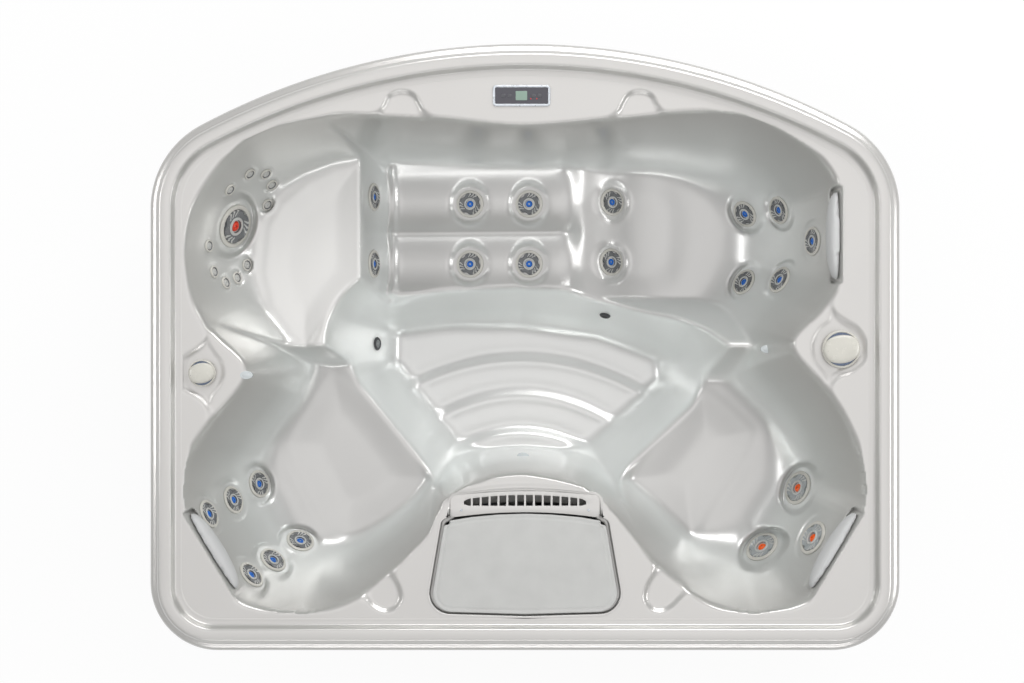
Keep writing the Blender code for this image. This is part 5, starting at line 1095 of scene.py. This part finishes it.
# Weir grille: rows follow the arched front, columns the slots' sides; the slots' cells are left out
def grilleMesh():
    reach, corner, pitch = grille["reach"], grille["corner"], grille["pitch"]
    edge = metres((0, 1.5, 4, 8, 14))
    middles = (np.arange(grille["slots"]) - (grille["slots"] - 1) / 2) * pitch
    sides = middles[:, None] + grille["slot"] * np.array((-0.5, -0.3, 0.0, 0.3, 0.5))
    x = np.r_[edge - reach, sides.ravel(), reach - edge[::-1]]
    into = np.clip(np.abs(x) - reach + corner, 0, corner)
    rounded = corner - np.sqrt(np.clip(corner**2 - into**2, 0, None))
    front = -0.3998 - 0.013 * (x / reach) ** 2 - rounded
    rear = -0.4583 - 0.0155 * (x / reach) ** 2 + rounded
    ends = ease(np.abs(x), 6.3 * pitch, 7.0 * pitch)
    slotTop = -0.4105 + grille["slotArch"] * (x / grille["archHalf"]) ** 2 - 0.005 * ends
    slotLow = -0.4405 + 0.004 * ends
    lines = [rear, rear * 0.4 + slotLow * 0.6, slotLow, (slotLow + slotTop) / 2]
    lines += [slotTop, (slotTop + front) / 2, front]
    grid = np.stack([raised(np.c_[x, y], deck + 0.0004) for y in lines])
    kept = np.ones((len(lines) - 1, len(x) - 1), bool)
    for k in range(grille["slots"]):
        first = len(edge) + sides.shape[1] * k
        kept[2:4, first:first + 4] = False
    return gridMesh(grid, kept=kept)


plate = piece("grille_plate", grilleMesh(), acrylic, "tub", ["weir_grille"])
solid = plate.modifiers.new("solidify", "SOLIDIFY")
solid.thickness, solid.offset = grille["thickness"], -1.0
bevel = plate.modifiers.new("bevel", "BEVEL")
bevel.width, bevel.segments, bevel.limit_method, bevel.angle_limit = 0.0007, 2, "ANGLE", math.radians(40)
# Baffle behind the slots: a sheet that leans back as it goes down
x, share = np.linspace(-0.172, 0.172, 30), np.linspace(0, 1, 7)[:, None]
y = -0.4092 + grille["slotArch"] * (x / grille["archHalf"]) ** 2 - 0.026 * share**1.5
sheet = np.stack(np.broadcast_arrays(x, y, deck - 0.0062 - 0.030 * share), -1)
baffle = piece("grille_baffle", gridMesh(sheet[::-1]), acrylic, "tub", ["weir_grille"])
baffle.modifiers.new("solidify", "SOLIDIFY").thickness = 0.002
screw = turned(metres([(0, 1), (3.4, 1.2), (3.4, 2.2), (2.4, 3), (1, 3), (0.6, 2.2), (0, 2.2)]), 20)
parts = [(screw, Matrix.Translation((x, -0.4525, deck)), 0) for x in (-grille["screws"], grille["screws"])]
piece("grille_screws", parts, silver, "tub")

# Pillow: the solid's form remeshed fine and swollen as cloth under pressure, held off the wall behind it
print("pillows")
pillowFoam = Look("pillow_foam", (0.47, 0.47, 0.475), 0.55, Sheen_Weight=0.15)
# Painted light: the pillow is painted lighter towards its top, where the light falls on it, and darker low
# down
rise = ((pillowFoam.height() - (deck - 0.060)) / 0.060).held(0.0, 1.0)
foamWithPaintedTopLight = pillowFoam.mix(rise, (0.46, 0.47, 0.47), (0.50, 0.50, 0.50))
pillowFoam.set("Base Color", pillowFoam.mix((pillowFoam.noise(0.02) - 0.4) * 0.2, foamWithPaintedTopLight, (0.50, 0.50, 0.50)))
pillowFoam.set("Roughness", (pillowFoam.noise(0.008) - 0.5) * 0.2 + 0.55)
pillowFoam.bump(pillowFoam.noise(0.0014, 3.0), 0.0003, 0.5)


# The mesh that a piece has with its modifiers worked in
def worked(thing):
    bpy.context.view_layer.update()
    shown = thing.evaluated_get(bpy.context.evaluated_depsgraph_get())
    mesh = bpy.data.meshes.new_from_object(shown)
    thing.modifiers.clear()
    return mesh


# Cloth under pressure from a slightly smaller form: moves are capped, and stay inside the node's box
def swell(thing, low, high):
    mesh = thing.data
    before = read(mesh.vertices, "co", 3) - read(mesh.vertices, "normal", 3) * pillows["shrink"]
    mesh.vertices.foreach_set("co", before.ravel())
    cloth = thing.modifiers.new("swell", "CLOTH")
    cloth.settings.use_pressure = True
    cloth.settings.uniform_pressure_force = pillows["pressure"]
    cloth.settings.effector_weights.gravity = 0
    scene = bpy.context.scene
    for step in range(1, pillows["frames"] + 1):
        scene.frame_set(step)
    shown = thing.evaluated_get(bpy.context.evaluated_depsgraph_get())
    moved = read(shown.data.vertices, "co", 3) - before
    thing.modifiers.clear()
    scene.frame_set(1)
    far = np.linalg.norm(moved, axis=1, keepdims=True)
    after = before + moved * np.minimum(1, pillows["cap"] / np.maximum(far, 1e-9))
    after = np.clip(after, low - pillows["proud"], high + pillows["proud"])
    mesh.vertices.foreach_set("co", after.ravel())


for node, (x, y, heading, length) in pillowPlaces.items():
    low, high = (np.array(corner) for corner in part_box(node))
    mesh = frame["nodes"][node].data.copy()
    mesh.materials.clear()
    pad = piece(f"{node}_pad", mesh, pillowFoam, "tub", [node])
    form = bmesh.new()
    form.from_mesh(mesh)
    bmesh.ops.remove_doubles(form, verts=form.verts, dist=1e-5)
    form.to_mesh(mesh)
    form.free()
    remesh = pad.modifiers.new("remesh", "REMESH")
    remesh.mode, remesh.voxel_size = "VOXEL", pillows["voxel"]
    smooth = pad.modifiers.new("smooth", "SMOOTH")
    smooth.factor, smooth.iterations = 0.5, 4
    pad.data = worked(pad)
    swell(pad, low, high)
    pad.modifiers.new("fine", "SUBSURF").levels = 1
    pad.data = worked(pad)
    spots, turn = read(pad.data.vertices, "co", 3), math.radians(heading)
    behind = deck - pillows["drop"] + pillows["slope"] * pillowWays(spots, x, y, heading)[0]
    over = (behind - spots[:, 2]) / pillows["lean"] + pillows["clear"]
    out = np.array((-math.cos(turn) * pillows["slope"], -math.sin(turn) * pillows["slope"], 1))
    spots = spots + np.clip(over, 0, 0.02)[:, None] * out / pillows["lean"]
    pad.data.vertices.foreach_set("co", spots.astype(np.float32).ravel())
    pad.data.shade_smooth()

# Cabinet: planks with grooves between corner posts, each a profile (depth, height) carried along the plan
print("cabinet")
cabinet = {
    "outer": 0.0105, "post": 0.0075, "thickness": 0.014, "low": 0.0123, "high": 0.6797, "planks": 5,
    "seam": 0.0006,
}
# One side of the groove between two planks: (depth, height over its middle)
groove = metres([(0, -50), (0, -4.2), (0.4, -3), (1.4, -2.1), (3.8, -1.6)])


# Profile of a wall from its inner side below, round the outside, to its inner side above
def wallProfile(outer, planks):
    thick = cabinet["outer"] + cabinet["thickness"] - outer
    low, high = cabinet["low"], cabinet["high"]
    foot = metres([(1.2, 0), (0.3, 0.6), (0, 1.8)])
    rows = [[(thick, low)], foot + (0, low)]
    for k in range(1, planks):
        z = low + k * (high - low) / planks
        rows += [groove + (0, z), [(0.0040, z)], (groove * (1, -1))[::-1] + (0, z)]
    return np.vstack([*rows, (foot * (1, -1))[::-1] + (0, high), [(thick, high)]])


# Wall between two stations of the plan, closed at both ends; the UV map is (distance along, height)
def wallMesh(first, last, outer, planks):
    profile = wallProfile(outer, planks)
    order = np.arange(first, last + 1)
    thick = cabinet["outer"] + cabinet["thickness"] - outer
    a, b = (loop[order % len(loop)] for loop in (tubPlan(outer), tubPlan(outer + thick)))
    for line in (a, b):
        line[0] += (line[1] - line[0]) / np.linalg.norm(line[1] - line[0]) * cabinet["seam"]
        line[-1] += (line[-2] - line[-1]) / np.linalg.norm(line[-2] - line[-1]) * cabinet["seam"]
    share = profile[:, :1] / thick
    columns = [np.c_[here * (1 - share) + there * share, profile[:, 1:]] for here, there in zip(a, b)]
    for k in (0, -1):
        flat = np.c_[np.repeat(((a[k] + b[k]) / 2)[None], len(profile), 0), profile[:, 1:]]
        columns.insert(0 if k == 0 else len(columns), flat)
    mesh = gridMesh(np.stack(columns, 1), closeRows=True)
    along = np.r_[0, 0, np.cumsum(np.linalg.norm(np.diff(a, axis=0), axis=1))]
    along = np.r_[along, along[-1]]
    uv = np.dstack(np.broadcast_arrays(along[None], profile[:, 1:])).reshape(-1, 2)
    corners = read(mesh.loops, "vertex_index", kind=np.int32)
    mesh.uv_layers.new(name="along").data.foreach_set("uv", uv[corners].astype(np.float32).ravel())
    return mesh


# Composite plank: long wavy grain along the wall, darker lines, each plank a little different
def plankLook():
    look = Look("plank_composite", (0.10, 0.085, 0.075), 0.6)
    spot = look.add("ShaderNodeTexCoord", out=2)
    long = look.add("ShaderNodeMapping", {}, {"Vector": spot, "Scale": (1.6, 38.0, 1.0)})
    fine = look.add("ShaderNodeMapping", {}, {"Vector": spot, "Scale": (9.0, 420.0, 1.0)})
    wavy = {"Vector": long, "Scale": 2.2, "Detail": 6.0, "Roughness": 0.6, "Distortion": 0.6}
    grain = look.add("ShaderNodeTexNoise", {}, wavy)
    lines = look.add("ShaderNodeTexNoise", {}, {"Vector": fine, "Scale": 1.0, "Detail": 3.0})
    rise = look.add("ShaderNodeSeparateXYZ", {}, {0: spot}, 1)
    pitch = (cabinet["high"] - cabinet["low"]) / cabinet["planks"]
    plank = rise.sum("FLOOR", (rise - cabinet["low"]) / pitch)
    tone = rise.sum("FRACT", plank * 0.37 + 0.2)
    base = look.mix(((grain - 0.35) * 2.2).held(0.0, 1.0), (0.050, 0.042, 0.037), (0.155, 0.125, 0.105))
    base = look.mix(((lines - 0.5) * 1.5 + 0.25).held(0.0, 1.0), base, (0.20, 0.165, 0.14))
    look.set("Base Color", look.mix(tone * 0.35, base, (0.075, 0.062, 0.055)))
    look.set("Roughness", (grain - 0.5) * 0.3 + 0.6)
    return look.bump(grain * 0.6 + lines * 0.4, 0.0008, 0.6)


planks = plankLook()
postPlastic = moulded("post_plastic", (0.060, 0.060, 0.063), 0.48, grain=0.0016, depth=0.0002)
# First and last station of each wall along the plan
walls = {
    "cabinet_front": (-60, 60), "cabinet_right": (82, 142), "cabinet_back": (164, 304),
    "cabinet_left": (326, 386), "corner_front_right": (60, 82), "corner_back_right": (142, 164),
    "corner_back_left": (304, 326), "corner_front_left": (386, 408),
}
for node, (first, last) in walls.items():
    if node.startswith("corner"):
        mesh = wallMesh(first, last, cabinet["post"], 1)
        piece(f"{node}_wall", mesh, postPlastic, "tub", [node])
    else:
        mesh = wallMesh(first, last, cabinet["outer"], cabinet["planks"])
        piece(f"{node}_wall", mesh, planks, "tub", [node])

# Base pan: the plan's outline with a chamfered foot
basePlastic = moulded("base_plastic", (0.028, 0.028, 0.030), 0.55, grain=0.003, depth=0.0004)
baseRows = metres([
    (15, 0), (13.2, 0), (12.4, 0.4), (8.6, 4.4), (8, 5.4), (8, 10.8), (8.4, 11.7), (9.4, 12), (30, 12)])
base = stacked([raised(tubPlan(inset), z) for inset, z in baseRows])
piece("base_sheet", base, basePlastic, "tub", ["base_pan"])

print("machinery")
paper = moulded("filter_paper", (0.62, 0.68, 0.74), 0.85, grain=0.0008, depth=0.0003)
capBlue = moulded("cap_blue", (0.05, 0.13, 0.28), 0.4)
cartridge = {"radius": 0.0600, "pleat": 0.0035, "pleats": 45}


# Filter cartridge: a pleated cylinder between two end caps, its radius a wave round the axis
def cartridgeParts(place):
    angles = 2 * math.pi * np.arange(360) / 360
    radius = cartridge["radius"] + cartridge["pleat"] * np.cos(angles * cartridge["pleats"])
    loop = np.c_[radius * np.cos(angles), radius * np.sin(angles)]
    pleats = ringMesh([raised(loop, z) for z in (0.016, 0.06, 0.11, 0.15, 0.19, 0.24, 0.284)])
    low = turned(metres([(0, 0), (63, 0), (65, 2), (65, 17), (63, 19), (50, 19)]), 64, 0.001)
    high = turned(metres([
        (50, 281), (63, 281), (65, 283), (65, 298), (63, 300), (40, 300), (22, 297.5), (20, 292), (20, 250),
        (0, 250)]), 64, 0.001)
    return [(pleats, place, 0), (low, place, 1), (high, place, 1)]


for node in ("filter_cartridge_left", "filter_cartridge_right"):
    low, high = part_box(node)
    place = Matrix.Translation(((low.x + high.x) / 2, (low.y + high.y) / 2, low.z))
    piece(f"{node}_pleated", cartridgeParts(place), [paper, capBlue], "tub", [node])


# Planed timber: rings stretched along the length, with soft pores
def timberLook():
    look = Look("planed_timber", (0.50, 0.36, 0.21), 0.65)
    rings = look.noise(0.03, 5.0, (0.25, 1.0, 2.2), 0.6)
    pores = look.noise(0.004, 3.0, (0.2, 1.0, 1.0))
    base = look.mix(((rings - 0.35) * 2.5).held(0.0, 1.0), (0.36, 0.24, 0.13), (0.60, 0.45, 0.28))
    look.set("Base Color", look.mix((pores - 0.45) * 0.8, base, (0.30, 0.20, 0.11)))
    look.set("Roughness", (rings - 0.5) * 0.2 + 0.65)
    return look.bump(rings * 0.5 + pores * 0.5, 0.0006, 0.5)


casing = moulded("equipment_casing", (0.36, 0.37, 0.385), 0.42, grain=0.0014, depth=0.0002, Metallic=0.2)
enamel = moulded("motor_enamel", (0.045, 0.055, 0.065), 0.38, grain=0.002, depth=0.0002)
impeller = moulded("impeller_plastic", (0.42, 0.39, 0.30), 0.36)
finishes = {
    "frame": timberLook(), "pump_motor": enamel, "pump_wet_end": darkPlastic, "pump_rotor": impeller,
    "equipment_pack": casing,
}
for node, look in finishes.items():
    frame["nodes"][node].data.materials[0] = look.material

# Camera over the tub, as in the photograph: level with its middle, looking straight down
camera = bpy.data.cameras.new("camera")
camera.lens, camera.sensor_width = 57.3, 36.0
camera.shift_x, camera.shift_y = -0.0127, 0.0054
bpy.context.scene.camera = linked("camera", camera)
bpy.context.scene.camera.matrix_world = Matrix.Translation((0.0, 0.0, 5.26))


# Pale floor that the camera and reflections see as white, still shaded where the tub stands
def paleFloor():
    look = Look("pale_floor", (0.8, 0.8, 0.8), 0.9)
    rays = [look.add("ShaderNodeLightPath", out=k) for k in (0, 3, 6)]
    seen = (rays[0] + rays[1] + rays[2]).held(0.0, 1.0)
    glow = look.add("ShaderNodeEmission", {}, {"Color": (1, 1, 1, 1), "Strength": 1.0})
    plain = Value(look, look.shader.outputs[0])
    mixed = look.add("ShaderNodeMixShader", {}, {0: seen * 0.92, 1: plain, 2: glow})
    look.plug(look.tree.nodes["Material Output"].inputs[0], mixed)
    return look


floorMesh = bpy.data.meshes.new("floor")
floorMesh.from_pydata([(-9, -9, 0), (9, -9, 0), (9, 9, 0), (-9, 9, 0)], [], [(0, 1, 2, 3)])
floorMesh.materials.append(paleFloor().material)
floor = linked("floor", floorMesh)

# Soft light: reflections see a sky that brightens towards its top, the camera a plain one
world = bpy.data.worlds.new("studio")
world.use_nodes = True
bpy.context.scene.world = world
sky = Nodes(world.node_tree)
sky.tree.nodes.remove(sky.tree.nodes["Background"])
rise = sky.add("ShaderNodeSeparateXYZ", {}, {0: sky.add("ShaderNodeTexCoord", out=0)}, 2)
tones = ((0.0, (0.4728, 0.48, 0.48)), (0.62, (0.4728, 0.48, 0.48)), (1.0, (1.0, 1.0, 1.0)))
ramp = sky.add("ShaderNodeValToRGB", {"stops": tones}, {0: rise})
dome = sky.add("ShaderNodeBackground", {}, {"Color": ramp})
plain = sky.add("ShaderNodeBackground", {}, {"Color": (0.98, 0.98, 0.98, 1.0)})
chosen = sky.add("ShaderNodeMixShader", {}, {0: sky.add("ShaderNodeLightPath"), 1: dome, 2: plain})
sky.plug(sky.tree.nodes["World Output"].inputs[0], chosen)
# Large lamps round the tub: place, size and power in watts
lamps = {
    "top_softbox": ((0.3, 0.6, 6.4), (5.0, 4.0), 17.0), "back_softbox": ((1.2, 4.2, 3.2), (4.6, 1.4), 165.0),
    "left_softbox": ((-4.4, 0.6, 3.4), (2.6, 0.5), 42.0),
    "right_softbox": ((4.4, -0.6, 3.4), (2.6, 0.5), 50.0),
    "front_softbox": ((0.2, -4.4, 3.2), (5.0, 0.5), 46.0),
}
for name, (spot, size, power) in lamps.items():
    lamp = bpy.data.lights.new(name, "AREA")
    lamp.shape, lamp.size, lamp.size_y, lamp.energy = "RECTANGLE", size[0], size[1], power
    thing = linked(name, lamp)
    thing.location = spot
    thing.rotation_euler = (Vector((0, 0, 0.5)) - Vector(spot)).to_track_quat("-Z", "Y").to_euler()
bpy.context.scene.view_settings.view_transform = "Standard"
